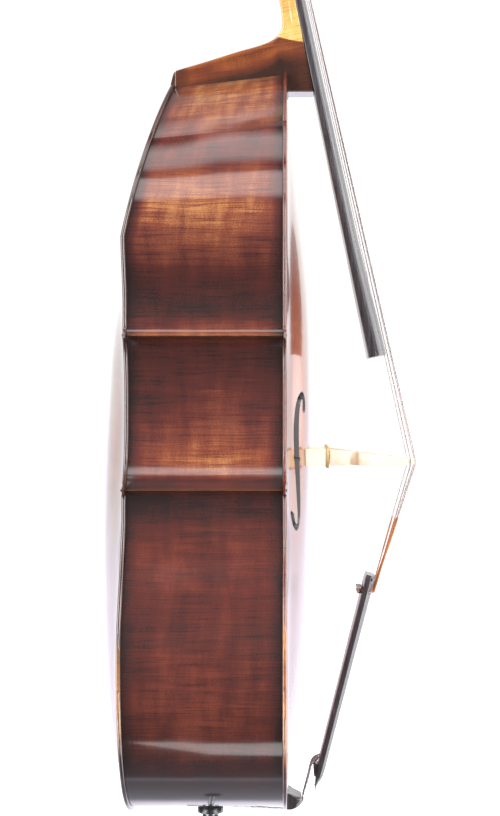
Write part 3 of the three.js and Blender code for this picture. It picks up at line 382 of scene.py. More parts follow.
def polished_ebony(name):
    s = new_shader(name)
    streaks = s.cloud(300, 300, 7, 4, 0.65)
    colour = s.ramp(streaks, shades((0.3, 36, 33, 35), (0.5, 60, 56, 60), (0.72, 78, 73, 77)))
    rough = s.between(s.cloud(24, 24, 10, 5, 0.62), 0.2, 0.36)
    height = s.line(streaks, 0.7, s.cloud(90, 90, 60, 2))
    return s.finish(colour, rough, height, 0.12, 0.0005, Coat_Weight=0.25, Coat_Roughness=0.2)


def pale_maple(name):
    """The bridge: unvarnished maple with small brown ray flecks."""
    s = new_shader(name)
    flecks = s.add("TexVoronoi", {"Vector": s.scaled(420, 90, 420), "Scale": 1.0}, feature="F1")
    cloud = s.cloud(30, 12, 40, 4, 0.6)
    colour = s.ramp(cloud, shades((0.25, 244, 226, 196), (0.6, 251, 240, 218), (0.85, 254, 248, 234)))
    colour = s.mix(0.3, colour, s.between(flecks, srgb(206, 168, 122), 1.0, 0.1, 0.26), "MULTIPLY")
    return s.finish(colour, s.between(cloud, 0.42, 0.58), s.cloud(40, 900, 300, 3, 0.6), 0.15, 0.0005,
                    Subsurface_Weight=0.05, Subsurface_Radius=(0.004, 0.002, 0.001))


def metal(name, bright, dull, rough=(0.18, 0.42), metallic=1.0):
    s = new_shader(name)
    tarnish = s.cloud(60, 60, 60, 5, 0.6)
    colour = s.between(tarnish, srgb(*bright), srgb(*dull), 0.35, 0.75)
    scratches = s.cloud(300, 300, 40, 4, 0.7)
    mixed = s.line(scratches, 0.5, s.times(tarnish, 0.5))
    return s.finish(colour, s.between(mixed, *rough), scratches, 0.08, 0.0003, Metallic=metallic)


def wound_string(name, light, dark, metallic, pitch, rough):
    """Thread or flat wire wound round a core. wood_u runs along the string, in metres."""
    s = new_shader(name)
    turns = s.math("SINE", s.times(s.value("wood_u"), 2 * math.pi / pitch))
    band = s.line(turns, 0.5, 0.5)
    grime = s.cloud(120, 120, 60, 4, 0.6)
    colour = s.mix(s.times(band, 0.6), srgb(*light), srgb(*dark))
    colour = s.mix(0.35, colour, s.between(grime, 0.55, 1.0), "MULTIPLY")
    return s.finish(colour, s.between(grime, rough, rough + 0.15), band, 0.5, 0.0004, Metallic=metallic)


def raw_wood(name):
    s = new_shader(name)
    grain = s.cloud(260, 60, 5, 4, 0.6)
    colour = s.ramp(grain, shades((0.3, 188, 144, 92), (0.6, 222, 186, 132), (0.8, 232, 204, 158)))
    return s.finish(colour, s.between(grain, 0.7, 0.9), grain, 0.3, 0.0005)


def matte_rubber(name):
    s = new_shader(name)
    scuff = s.cloud(60, 60, 90, 4, 0.6)
    colour = s.between(scuff, srgb(30, 30, 31), srgb(66, 64, 62), 0.35, 0.75)
    return s.finish(colour, s.between(scuff, 0.6, 0.85), s.cloud(700, 700, 700, 3, 0.7), 0.3, 0.0004)


RIB_STOPS = shades((0, 46, 34, 33), (0.25, 86, 42, 38), (0.5, 126, 68, 48), (0.72, 170, 114, 70),
                   (1, 204, 154, 94))
LOWER_STOPS = shades((0, 44, 33, 33), (0.25, 80, 40, 36), (0.5, 116, 58, 45), (0.75, 152, 84, 58),
                     (1, 186, 116, 70))
NECK_STOPS = shades((0, 40, 26, 25), (0.25, 98, 48, 32), (0.5, 166, 94, 44), (0.75, 236, 188, 106),
                    (1, 248, 218, 154))
RIB_WOOD = varnished_maple("rib_maple", RIB_STOPS, 0.62)
LOWER_WOOD = varnished_maple("lower_rib_maple", LOWER_STOPS, 0.6)
BACK_WOOD = varnished_maple("back_maple", LOWER_STOPS, 0.5, 0.9)
NECK_WOOD = varnished_maple("neck_maple", NECK_STOPS, 0.3, 0.3)
FRONT_WOOD = varnished_spruce("front_spruce")
EBONY = polished_ebony("ebony")
BRIDGE_WOOD = pale_maple("bridge_maple")
BRASS = metal("machine_brass", (232, 190, 108), (168, 124, 62))
PALE_BRASS = metal("adjuster_brass", (250, 234, 184), (224, 196, 130), (0.4, 0.6), 0.8)
STEEL = metal("bright_steel", (214, 216, 222), (150, 152, 158), (0.14, 0.34))
PIN_STEEL = metal("pin_steel", (124, 126, 132), (84, 86, 92), (0.22, 0.42))
STRING_METAL = wound_string("string_metal", (214, 204, 204), (150, 138, 138), 0.85, 0.0006, 0.3)
SILK = wound_string("string_silk", (212, 136, 80), (158, 82, 44), 0.0, 0.0011, 0.6)
WIRE_METAL = wound_string("wire_metal", (206, 208, 214), (120, 122, 128), 1.0, 0.0016, 0.25)
RAW = raw_wood("raw_spruce")
RUBBER = matte_rubber("foot_rubber")
INLAY_DARK = metal("purfling_dark", (38, 28, 24), (62, 44, 34), (0.2, 0.3), 0.0)
INLAY_PALE = metal("purfling_pale", (206, 168, 108), (170, 128, 78), (0.2, 0.3), 0.0)


# ------------------------------------------------------------------ mesh helpers
# A skin is a pair of points and faces.
def mark(mesh, attributes, domain="POINT"):
    for key, values in attributes.items():
        layer = mesh.attributes.new(key, "FLOAT", domain)
        layer.data.foreach_set("value", np.asarray(values, np.float32).ravel())


def piece(name, skin, material, body=ROOT, stands_for=None, attributes=None, crease=35, ride=True):
    """A mesh from a skin in mm above the plates' lower edge, riding on a body."""
    points = (np.asarray(skin[0], float) + (0, 0, BODY_Z)) * MM
    mesh = bpy.data.meshes.new(name)
    mesh.from_pydata(points.tolist(), [], [list(map(int, face)) for face in skin[1]])
    mark(mesh, attributes or {})
    obj = bpy.data.objects.new(name, mesh)
    SCENE.collection.objects.link(obj)
    tidy(mesh, crease)
    mesh.materials.append(material)
    if ride:
        settle(obj, body, stands_for)
    return obj


def tidy(mesh, crease=35):
    """Faces out, smooth except over edges sharper than crease degrees."""
    work = bmesh.new()
    work.from_mesh(mesh)
    bmesh.ops.recalc_face_normals(work, faces=work.faces)
    for face in work.faces:
        face.smooth = True
    for edge in work.edges:
        edge.smooth = len(edge.link_faces) == 2 and edge.calc_face_angle(0) < math.radians(crease)
    work.to_mesh(mesh)
    work.free()


def settle(obj, body, stands_for=None):
    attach(obj, body)
    if stands_for:
        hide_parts(stands_for)


def loft(rings):
    """A closed skin over rings, an array of (rings, points, 3)."""
    rings = np.asarray(rings, float)
    count, around = rings.shape[:2]
    index = np.arange(count * around).reshape(count, around)
    turned_on = np.roll(index, -1, axis=1)
    faces = np.stack([index[:-1], turned_on[:-1], turned_on[1:], index[1:]], -1).reshape(-1, 4).tolist()
    faces += [index[0, ::-1].tolist(), index[-1].tolist()]
    return rings.reshape(-1, 3), faces


def sweep(points, radius, sides=10, lobes=0, depth=0.0, twist=0.0):
    """The skin of a round or lobed bar along points, and its wood_u, which runs along it in metres."""
    points = np.asarray(points, float)
    run = run_along(points)
    tangent = np.gradient(points, run, axis=0)
    tangent /= np.linalg.norm(tangent, axis=1, keepdims=True)
    across = np.array([1.0, 0, 0]) if abs(tangent[0][0]) < 0.9 else np.array([0, 1.0, 0])
    turn = np.linspace(0, 2 * np.pi, sides, endpoint=False)
    rings = []
    for p, t, r, s in zip(points, tangent, np.broadcast_to(radius, len(points)), run):
        across = across - t * (across @ t)
        across /= np.linalg.norm(across)
        out = np.cos(turn)[:, None] * across + np.sin(turn)[:, None] * np.cross(t, across)
        rings.append(p + (r * (1 + depth * np.cos(lobes * turn - twist * s)))[:, None] * out)
    return loft(rings), {"wood_u": np.repeat(run * MM, sides)}


def turned(profile, sides=32):
    """The skin of a turned piece from a closed list of (radius, height). Points on the axis are allowed."""
    turn = np.linspace(0, 2 * np.pi, sides, endpoint=False)
    verts, index, faces = [], [], []
    for r, z in profile:
        if r < 1e-6:
            index.append([len(verts)] * sides)
            verts.append((0, 0, z))
        else:
            index.append(list(range(len(verts), len(verts) + sides)))
            verts += [(r * math.cos(t), r * math.sin(t), z) for t in turn]
    closed = profile[0][0] > 1e-6
    for a, b in zip(index, index[1:] + (index[:1] if closed else [])):
        for i in range(sides):
            corner = list(dict.fromkeys([a[i], a[(i + 1) % sides], b[(i + 1) % sides], b[i]]))
            if len(corner) > 2:
                faces.append(corner)
    return np.array(verts, float), faces


def placed(skin, place):
    """A skin moved from the neck's or the tailpiece's frame."""
    return place(skin[0]), skin[1]


def aimed(skin, direction, at):
    """A skin made along +Z, turned to a direction and moved to a place."""
    turn = Vector((0, 0, 1)).rotation_difference(Vector(direction)).to_matrix()
    return skin[0] @ np.array(turn).T + np.asarray(at), skin[1]


def merged(*skins):
    verts, faces, base = [], [], 0
    for points, parts in skins:
        verts.append(points)
        faces += [[i + base for i in face] for face in parts]
        base += len(points)
    return np.concatenate(verts), faces


def bake(obj, crease=35):
    """Applies the modifiers."""
    graph = bpy.context.evaluated_depsgraph_get()
    mesh = bpy.data.meshes.new_from_object(obj.evaluated_get(graph))
    obj.modifiers.clear()
    obj.data = mesh
    tidy(mesh, crease)


def bevel(obj, width, segments=3, angle=30):
    edge = obj.modifiers.new("edge", "BEVEL")
    edge.width, edge.segments = width * MM, segments
    edge.limit_method, edge.angle_limit = "ANGLE", math.radians(angle)
    bake(obj, 40)


def carve(obj, cutters, crease=35):
    """Cuts the other pieces out of obj."""
    group = bpy.data.collections.new("cutters")
    for cutter in cutters:
        SCENE.collection.objects.unlink(cutter)
        group.objects.link(cutter)
    SCENE.collection.children.link(group)
    cut = obj.modifiers.new("cut", "BOOLEAN")
    cut.operation, cut.operand_type, cut.collection, cut.solver = "DIFFERENCE", "COLLECTION", group, "EXACT"
    bake(obj, crease)
    for cutter in cutters:
        bpy.data.objects.remove(cutter)
    bpy.data.collections.remove(group)


def prism(name, outline, low, high, axis=1, wall=0):
    """A cutter: a flat outline of two coordinates, pushed through from low to high along an axis.
    wall marks the faces that it leaves."""
    outline = np.asarray(outline, float)
    obj = piece(name, loft([np.insert(outline, axis, at, axis=1) for at in (low, high)]), RAW, ride=False)
    mark(obj.data, {"wall": np.full(len(obj.data.polygons), wall)}, "FACE")
    return obj


def bore(name, radius, low, high, direction, at, place=np.asarray, sides=24):
    """A round cutter, from low to high along a direction."""
    skin = aimed(turned([(0, low), (radius, low), (radius, high), (0, high)], sides), direction, at)
    return piece(name, placed(skin, place), RAW, ride=False)


def refined(node, material, width, crease=35, segments=2):
    """A finer copy of a CAD node, with its facets joined and its edges rounded, which stands for it."""
    mesh = frame["nodes"][node].data.copy()
    mesh.materials.clear()
    mesh.materials.append(material)
    obj = bpy.data.objects.new(node + "_fine", mesh)
    SCENE.collection.objects.link(obj)
    work = bmesh.new()
    work.from_mesh(mesh)
    bmesh.ops.remove_doubles(work, verts=work.verts, dist=2e-6)
    bmesh.ops.dissolve_limit(work, angle_limit=math.radians(1), verts=work.verts, edges=work.edges)
    for face in work.faces:
        face.material_index = 0
    work.to_mesh(mesh)
    work.free()
    tidy(mesh, crease)
    bevel(obj, width, segments)
    settle(obj, NODE_BODY[node], node)


# ------------------------------------------------------------------ camera and light
def set_view():
    camera = bpy.data.objects.new("camera", bpy.data.cameras.new("camera"))
    SCENE.collection.objects.link(camera)
    camera.location = (-3.078, -0.117, 0.785)
    camera.rotation_euler = (math.radians(90), 0, math.radians(-90))
    camera.data.lens = 88.68
    camera.data.sensor_width = 36
    camera.data.shift_x = -0.0453
    camera.data.clip_start, camera.data.clip_end = 0.1, 100
    SCENE.camera = camera
    SCENE.view_settings.view_transform = "Standard"
    SCENE.view_settings.look = "None"


# Brightness of the studio by height, in degrees up from the horizon on the low-string side, over the top and
# down behind. The light from below the first height named here has a tint.
STUDIO = [(-180, 1.25), (-150, 1.15), (-142, 0.4), (-116, 0.38), (-112, 0.4), (-111, 0.8), (-109, 0.8),
          (-107, 0.25), (-60, 0.1), (75, 0.12), (99, 0.25), (103, 0.4), (106, 1.35), (112, 1.25),
          (117, 0.25), (140, 0.3), (148, 1.15), (180, 1.25)]
LOW_UP_TO = -100
LOW_TINT = (0.98, 0.94, 1.06)
# What well sideways directions see: two strip lights on the low-string side, one in front and one behind, and
# a plain far side. The places run from the front, 0, to the back, 1, and the glow is a tenth of the light.
STRIPS = [(0.05, 0.03), (0.08, 0.8), (0.225, 0.8), (0.275, 0.02), (0.725, 0.02), (0.775, 0.85), (0.92, 0.85),
          (0.95, 0.03)]
FAR_SIDE = [(0.02, 0.03), (0.05, 0.34), (0.14, 0.34), (0.22, 0.13), (0.8, 0.13), (0.93, 0.11), (0.97, 0.03)]
WORLD_GAIN = 10.0
EVEN_LIGHT = 0.27
BACKGROUND = 1.05
# Softboxes that show in the varnish: corners in X and Y, height in metres, glow, and how much of each side
# fades.
SOFTBOXES = {
    "over_shoulders": (((-0.425, -0.4), (-0.262, -0.4), (-0.262, 0.4), (-0.425, 0.4)), 1.2, 3.0, (0.4, 0.08)),
    "over_heel": (((-0.25, -0.4), (-0.172, -0.4), (-0.172, 0.4), (-0.25, 0.4)), 1.2, 2.1, (0.35, 0.3)),
    "by_the_foot": (((-0.43, -0.3), (-0.318, -0.3), (-0.338, 0.0), (-0.43, 0.13)), 0.02, 2.8, (0.12, 0.12))}
BOX_BEND = 0.05
# Large lamps that light the wood without showing in it: place and power. All of them face the body's middle.
FILLS = [(-3.4, -0.8, 2.0, 50), (-3.0, -0.6, -0.4, 22), (0.3, -3.6, 1.6, 48), (0.3, 3.6, 1.6, 48),
         (3.4, 0, 1.4, 36)]
FILL_SIZE = 2.4
BODY_MIDDLE = Vector((0, -0.1, 0.8))


def stage_sheet(name, corners, height, material):
    mesh = bpy.data.meshes.new(name)
    mesh.from_pydata([(x, y, 0) for x, y in corners], [], [(0, 1, 2, 3)])
    mesh.materials.append(material)
    obj = bpy.data.objects.new(name, mesh)
    obj.location.z = height
    obj.visible_diffuse = False
    SCENE.collection.objects.link(obj)
    return obj


def light_world():
    SCENE.world = bpy.data.worlds.new("studio")
    s = Shader(SCENE.world)
    x, y, z = s.add("SeparateXYZ", {0: s.add("TexCoord")}, None)
    place = s.line(s.math("ARCTAN2", z, s.times(x, -1.0)), 0.5 / math.pi, 0.5)
    stops = []
    for angle, glow in STUDIO:
        tint = LOW_TINT if angle < LOW_UP_TO else (1, 1, 1)
        stops.append(((angle + 180) / 360, tuple(glow / WORLD_GAIN * k for k in tint) + (1,)))
    from_front = s.line(y, 0.5, 0.5)
    far = s.between(s.line(x, 0.5, 0.5), 0.0, 1.0, 0.42, 0.52)
    sides = s.mix(far, s.ramp(from_front, STRIPS), s.ramp(from_front, FAR_SIDE))
    sideways = s.ramp(s.math("ABSOLUTE", y), [(0.4, 0.0), (0.5, 1.0)], True)
    lit = s.add("Background", {"Color": s.mix(sideways, s.ramp(place, stops), sides), "Strength": WORLD_GAIN})
    # Reflections see the studio, soft light is even, and the camera sees white.
    even = s.add("Background", {"Color": (1, 1, 1, 1), "Strength": EVEN_LIGHT})
    seen = s.add("Background", {"Color": (1, 1, 1, 1), "Strength": BACKGROUND})
    surface = s.add("MixShader", {0: s.add("LightPath", out=2), 1: lit, 2: even})
    s.output(s.add("MixShader", {0: s.add("LightPath"), 1: surface, 2: seen}), "OutputWorld")


def hang_softboxes():
    for name, (corners, height, strength, (outer, inner)) in SOFTBOXES.items():
        s = new_shader(name)
        low, high = min(x for x, _ in corners), max(x for x, _ in corners)
        across = s.add("SeparateXYZ", {0: s.add("TexCoord", out=3)})
        bent = s.line(s.cloud(4, 7, 4, 1), BOX_BEND, across)
        share = s.times(s.math("SUBTRACT", bent, low + BOX_BEND / 2), 1 / (high - low))
        glow = s.ramp(share, [(0.0, 0.0), (outer, 1.0), (1 - inner, 1.0), (1.0, 0.0)], True)
        material = s.output(s.add("Emission", {"Color": glow, "Strength": strength}))
        panel = stage_sheet(name, corners, height, material)
        panel.visible_camera = panel.visible_shadow = False


def hang_fills():
    for i, (x, y, z, power) in enumerate(FILLS):
        lamp = bpy.data.lights.new(f"fill_{i}", "AREA")
        lamp.size, lamp.energy = FILL_SIZE, power
        obj = bpy.data.objects.new(f"fill_{i}", lamp)
        obj.location = (x, y, z)
        obj.rotation_euler = (Vector((x, y, z)) - BODY_MIDDLE).to_track_quat("Z", "Y").to_euler()
        obj.visible_glossy = False
        SCENE.collection.objects.link(obj)


def lay_floor():
    s = new_shader("pale_floor")
    speck = s.cloud(3, 3, 3, 4, 0.6)
    colour = s.between(speck, srgb(244, 244, 245), srgb(250, 250, 250))
    material = s.finish(colour, 0.85, speck, 0.02, 0.001, Emission_Color=(1, 1, 1, 1), Emission_Strength=0.45)
    floor = stage_sheet("floor", [(-8, -8), (8, -8), (8, 8), (-8, 8)], -0.0005, material)
    floor.visible_glossy = False


# ------------------------------------------------------------------ ribs
# How light the varnish is, by height.
TONE_UPPER = np.array([(708, 0.5), (714, 0.36), (728, 0.26), (736, 0.12), (746, 0.06), (790, 0.14),
                       (815, 0.3), (845, 0.44), (868, 0.53), (888, 0.64), (902, 0.54), (935, 0.43),
                       (952, 0.28), (990, 0.26), (1008, 0.34), (1022, 0.38), (1036, 0.46), (1070, 0.56),
                       (1115, 0.6)])
TONE_WAIST = np.array([(489, 0.1), (503, 0.14), (510, 0.46), (530, 0.58), (560, 0.42), (600, 0.28),
                       (650, 0.22), (695, 0.18), (708, 0.14)])
TONE_LOWER = np.array([(0, 0.04), (60, 0.06), (90, 0.16), (130, 0.3), (200, 0.35), (270, 0.3), (300, 0.22),
                       (360, 0.25), (430, 0.26), (465, 0.1), (480, 0.1), (489, 0.2)])
# Outline, shares of it, tone, where the shading is lightest and how wide that is, and wood.
RIBS = {"lower": (LOWER, np.linspace(0.0006, 1, 130), TONE_LOWER, 0.45, 0.5, LOWER_WOOD),
        "waist": (WAIST, np.linspace(0.012, 0.988, 64), TONE_WAIST, 0.42, 0.26, RIB_WOOD),
        "upper": (UPPER, np.linspace(0, 1, 110), TONE_UPPER, 0.6, 0.7, RIB_WOOD)}
RIB_THICK = 2.4


def rib_tone(table, z, share, middle, spread):
    centre = np.exp(-((share - middle) / spread) ** 2)
    edge = smooth(share / 0.1) * smooth((1 - share) / 0.1)
    return read_table(table, z) * (0.62 + 0.38 * centre) * (0.1 + 0.9 * edge)


def make_ribs():
    share = np.linspace(0, 1, 28)
    both = np.concatenate([share, share[::-1]])
    for label, side in SIDES:
        for level, (outline, t, table, middle, spread, wood) in RIBS.items():
            to_end = np.minimum(t, 1 - t)
            outer, along = outline.at(t)
            inner = outer - RIB_THICK * smooth(to_end / 0.03 + 0.25)[:, None] * right_of(along)
            shell = [on_ribs(side * p[:, 0, None], p[:, 1, None], share) for p in (outer, inner)]
            rings = np.concatenate([shell[0], shell[1][:, ::-1]], axis=1)
            wear = 0.8 * np.exp(-(to_end * outline.length / 4) ** 2)
            looks = {"wood_u": np.repeat(t * outline.length * MM, len(both)),
                     "wood_v": np.tile(both * RIB_DEPTH * MM, len(t)),
                     "tone": rib_tone(table, rings[..., 2], both, middle, spread),
                     "wear": np.repeat(wear, len(both))}
            name = f"rib_{level}_{label}"
            piece(name + "_fine", loft(rings), wood, ROOT, name, looks)


# ------------------------------------------------------------------ plates
def to_line(points, line):
    """The distance of each point from a line of points."""
    a, b = line[:-1], line[1:]
    ab = b - a
    size = np.maximum((ab ** 2).sum(1), 1e-9)
    best = np.full(len(points), 1e9)
    for k in range(0, len(points), 2000):
        p = points[k:k + 2000, None]
        t = np.clip(((p - a) * ab).sum(2) / size, 0, 1)
        best[k:k + 2000] = np.sqrt((((a + t[..., None] * ab) - p) ** 2).sum(2)).min(1)
    return best


def plate_grid(front):
    """Rings of a plate, from the bottom to the top, with the distance of each point from the edge."""
    half = np.concatenate([edge_line((120, 60, 110)), [[HEEL_HALF - 8, BODY_LENGTH]]])
    around = np.concatenate([half, half[::-1] * (-1, 1), half[:1]])
    w = np.linspace(0, 1, 27)
    inset = 0.02 * w + 0.98 * w ** 2.1
    x = half[:, 0, None] * np.concatenate([-(1 - inset), (1 - inset)[::-1][1:]])
    z = np.broadcast_to(half[:, 1, None], x.shape)
    gap = to_line(np.stack([x.ravel(), z.ravel()], 1), around).reshape(x.shape)
    edge = 3.0
    drop = edge - np.sqrt(np.maximum(0, edge ** 2 - np.maximum(0, edge - gap) ** 2))
    lift = rise(x, z, TOP_ARCHING if front else BACK_ARCHING)
    outward = PLATE_EDGE + lift - channel(gap) - drop
    inward = 0.96 * lift + drop
    base = np.stack([x, np.full(x.shape, FRONT_Y), z], -1) if front else on_ribs(x, z, 1)
    away = -1 if front else 1
    outer, inner = (base + (away * (GAP + out))[..., None] * (0, 1, 0) for out in (outward, inward))
    return np.concatenate([outer, inner[:, ::-1]], 1), np.concatenate([gap, gap[:, ::-1]], 1)


def plate_looks(rings, gap, front):
    x, z = rings[..., 0], rings[..., 2]
    if front:
        tone = 0.1 + 0.72 * smooth(gap / 75) ** 0.8
        u = z
        rubbed = smooth((z - 90) / 40) * smooth((340 - z) / 60)
    else:
        tone = 0.08 + 0.5 * smooth(gap / 70)
        u = z + 0.22 * np.abs(x)
        rubbed = smooth((z - 120) / 40) * smooth((300 - z) / 60)
    # The varnish is rubbed through to amber along the edge of the lower bout.
    wear = np.exp(-(gap / 3) ** 2) * (0.03 + 0.85 * rubbed)
    return {"wood_u": u * MM, "wood_v": x * MM, "tone": tone, "wear": wear}


def f_hole(side):
    """An f-hole's cutter."""
    shape = closed_curve(
        (-84, 604), (-84, 622, -96, 632, -108, 628), (-125, 621, -134, 600, -138.6, 565),
        (-139.4, 555, -140.5, 542, -140.9, 536), (-142, 535.5, -144.5, 534.5, -145, 533.5),
        (-144.5, 532.5, -142, 532, -141, 531), (-142, 490, -144, 452, -159, 437.5),
        (-166, 434, -172, 441, -171, 450), (-171, 456, -190, 460, -190, 452),
        (-190, 436, -176, 425, -162, 428), (-130, 435, -122, 480, -119.4, 526),
        (-118, 527, -115.6, 528, -115, 529.5), (-115.6, 531, -118, 532, -119, 533),
        (-116, 580, -114, 607, -104, 617), (-97, 621, -97, 611, -99, 604), (-98, 596, -84, 596, -84, 604))
    return prism(f"cut_{side}", shape if side < 0 else shape * (-1, 1), -175, -85, wall=1)


def notch(name, half, low, high):
    """A cutter for a square notch in the top plate's end."""
    return prism(name, [(-half, low), (half, low), (half, high), (-half, high)], -175, -90)


def make_plates():
    for front in (True, False):
        name = "top_plate" if front else "back_plate"
        wood, slot = (FRONT_WOOD, "front_spruce") if front else (BACK_WOOD, "back_maple")
        rings, gap = plate_grid(front)
        plate = piece(name + "_fine", loft(rings), wood, ROOT, name, plate_looks(rings, gap, front))
        if front:
            heel_notch = notch("cut_heel", HEEL_HALF, HEEL_BOTTOM - 1, 1130)
            saddle_notch = notch("cut_saddle", 36.2, -10, 22.2)
            carve(plate, [f_hole(-1), f_hole(1), heel_notch, saddle_notch])
    make_button()
    for front in (True, False):
        make_purfling(front)


def make_button():
    """The back plate's tongue over the end of the heel."""
    end = on_ribs(0, BODY_LENGTH, 1)
    shape = closed_curve((-24.5, -12), (-24.5, -6, -24.5, 0, -24.5, 5), (-24.5, 30, 24.5, 30, 24.5, 5),
                         (24.5, 0, 24.5, -6, 24.5, -12), (10, -12, -10, -12, -24.5, -12))
    c, s = math.cos(BACK_BEND), math.sin(BACK_BEND)
    x, up = shape.T
    verts, faces = loft([np.stack([x, end[1] - up * s + GAP + d * c, end[2] + up * c + d * s], 1)
                         for d in (0.15, PLATE_EDGE - 0.05)])
    looks = {"wood_u": verts[:, 2] * MM, "wood_v": verts[:, 0] * MM, "tone": np.full(len(verts), 0.12),
             "wear": np.full(len(verts), 0.1)}
    bevel(piece("back_button", (verts, faces), BACK_WOOD, attributes=looks), 1.6, 4)


# Each inlaid line's outer and inner edge, outside the ribs' outline.
INLAYS = ((1.5, 1.0, INLAY_DARK), (0.97, 0.33, INLAY_PALE), (0.3, -0.2, INLAY_DARK))


def make_purfling(front):
    """Three fine inlaid lines round a plate, just inside its edge."""
    for label, side in SIDES:
        for k, (a, b, wood) in enumerate(INLAYS):
            fall = channel(OVERHANG - a)
            outer, inner = (edge_line((150, 70, 130), d, 3.0, 0.006) for d in (a, b))
            ring = []
            for line, up in ((outer, 0.12), (inner, 0.12), (inner, -0.5), (outer, -0.5)):
                x, z = line.T
                if front:
                    ring.append(np.stack([side * x, top_y(x, z) + fall - up, z], -1))
                else:
                    out = GAP + PLATE_EDGE + rise(x, z, BACK_ARCHING) - fall + up
                    ring.append(on_ribs(side * x, z, 1) + out[:, None] * (0, 1, 0))
            skin = loft(np.stack(ring, 1))
            piece(f"purfling_{'front' if front else 'back'}_{label}_{k}", skin, wood, crease=60)


# ------------------------------------------------------------------ neck, pegbox and scroll
# The scroll's middle in the neck's frame, its first and last radius, and its turns.
SCROLL_AT = (36, 222)
SCROLL_OUTER = 52
SCROLL_EYE = 9
SCROLL_TURNS = 2.2
# The heel's upper edge and the back of the neck's root, from the button up, in Y and Z.
HEEL_TOP = np.array([(53, 1117.4), (46.6, 1120.2), (6, 1132.2), (-41, 1147), (-75, 1156.6), (-94, 1164.6),
                     (-104, 1173.6), (-108.3, 1184), (-109.2, 1193), (-107.6, 1210), (-104.6, 1226)])
# Where the strings are wound: side and height along the neck.
PEGS = {"E": (-1, 34), "G": (1, 64), "A": (-1, 98), "D": (1, 128)}
PEG_Y = 26


def scroll_radius(turn):
    return SCROLL_OUTER * (SCROLL_EYE / SCROLL_OUTER) ** (turn / SCROLL_TURNS)


def neck_shaft():
    rings = []
    for z in np.linspace(-474, -30, 60):
        half = min(board_half(z) - 0.4, 28.3 + 3 * smooth((z + 420) / 100))
        deep = 21 - z * 0.01
        ring = []
        for a in np.linspace(0, np.pi, 20):
            across = math.copysign(abs(math.cos(a)) ** 0.7, math.cos(a))
            ring.append((half * across, 3 + (deep - 3) * math.sin(a) ** 0.85, z))
        rings.append(ring + [(-half, 0, z), (half, 0, z)])
    return loft(rings)


def seat_y(z):
    """The face that the fingerboard's end of the neck is glued on."""
    return NECK_SEAT_Y + (z - HEEL_BOTTOM) * math.tan(NECK_ANGLE) + GAP


def heel():
    top = spline(HEEL_TOP, 6)
    corners = [(seat_y(1226), 1226), (seat_y(HEEL_BOTTOM), HEEL_BOTTOM), (-100, HEEL_BOTTOM),
               (54, HEEL_BOTTOM)]
    outline = np.concatenate([top, corners])
    slices = []
    for share in (-1, -0.93, -0.75, -0.4, 0, 0.4, 0.75, 0.93, 1):
        shrink = 3 * max(0, abs(share) - 0.7) ** 2 / 0.09
        section = outline.copy()
        section[:len(top), 1] -= shrink
        section[:len(top), 0] -= shrink * 0.5 * (top[:, 1] > 1160)
        slices.append(to_neck(np.insert(section, 0, share * HEEL_HALF, axis=1)))
    return loft(slices)


def pegbox():
    side = Outline((0, 8.3), (-1.6, 8.3, -3.3, 8.3, -5, 8.3), (-8, 60, 2, 130, 20, 178),
                   (29, 182, 39, 186, 48, 190), (61, 200, 74, 211, 87, 222), (84, 190, 74, 170, 70, 140),
                   (66, 100, 64, 70, 60, 40), (57, 14, 44, 6, 34, -8), (27, -20, 24, -34, 19.5, -52),
                   (13, -52, 7, -52, 0, -52)).points[::12]
    return loft([np.insert(side, 0, x, axis=1) for x in (-25, 25)])


def scroll():
    """Wedges along the spiral, which stand out further towards the middle, and the eye through them."""
    y, z = SCROLL_AT
    steps = 30
    groove = ((-1, 0), (-0.82, 0.4), (-0.5, 2.6), (-0.12, 0.2), (0.12, 0.2), (0.5, 2.6), (0.82, 0.4), (1, 0))
    wedges = []
    for i in range(int(SCROLL_TURNS * steps)):
        turns = (i / steps, (i + 1.3) / steps)
        half = 19 + 6.4 * turns[0]
        rings = []
        for share, depth in groove:
            ring = [(share * half, y, z)]
            for turn in turns:
                r = scroll_radius(turn) - depth * scroll_radius(turns[0]) / SCROLL_OUTER
                angle = 2 * math.pi * turn
                ring.append((share * half, y + r * math.cos(angle), z + r * math.sin(angle)))
            rings.append(ring)
        wedges.append(loft(rings))
    eye = turned([(0, -33.8), (7.5, -33.8), (9, -32), (9, 32), (7.5, 33.8), (0, 33.8)], 28)
    return wedges + [aimed(eye, (1, 0, 0), (0, y, z))]


def neck_looks(body):
    """The neck's shading at points of the body's frame: golden, with a stained heel and head; the light band
    under the heel's top edge is partly a painted highlight.
    """
    local = to_neck(body)
    y, z = body[:, 1], body[:, 2]
    # The heel is stained dark below a curved line, and so is the head above the nut.
    line = 1169.6 + 0.3 * (y + 98.8) + 0.002 * (y + 98.8) ** 2
    stain = smooth((line - z) / 1.6 + 0.5) * (z < 1180)
    head = smooth((local[:, 2] + 34) / 30)
    golden = 0.78 + 0.06 * np.sin(local[:, 2] / 46)
    # Bands under the heel's top edge: the first is partly the wood's own gold and partly a painted highlight
    # on the rounded edge, the second is golden, and further down the heel gets darker towards its foot.
    below = np.interp(-y, -HEEL_TOP[:7, 0], HEEL_TOP[:7, 1]) - z
    glow = 0.5 * np.exp(-(below / 7) ** 2) + 0.3 * np.exp(-((below - 24) / 13) ** 2)
    low = smooth((below - 14) / 34) * (0.5 + 0.5 * smooth((y + 150) / 50))
    stained = 0.15 + 0.5 * glow * smooth((52 - y) / 25) - 0.2 * low
    tone = (golden * (1 - stain) + stained * stain) * (1 - head) + 0.22 * head
    return {"wood_u": local[:, 2] * MM, "wood_v": (local[:, 0] + local[:, 1]) * MM, "tone": tone,
            "wear": np.full(len(body), 0.1)}


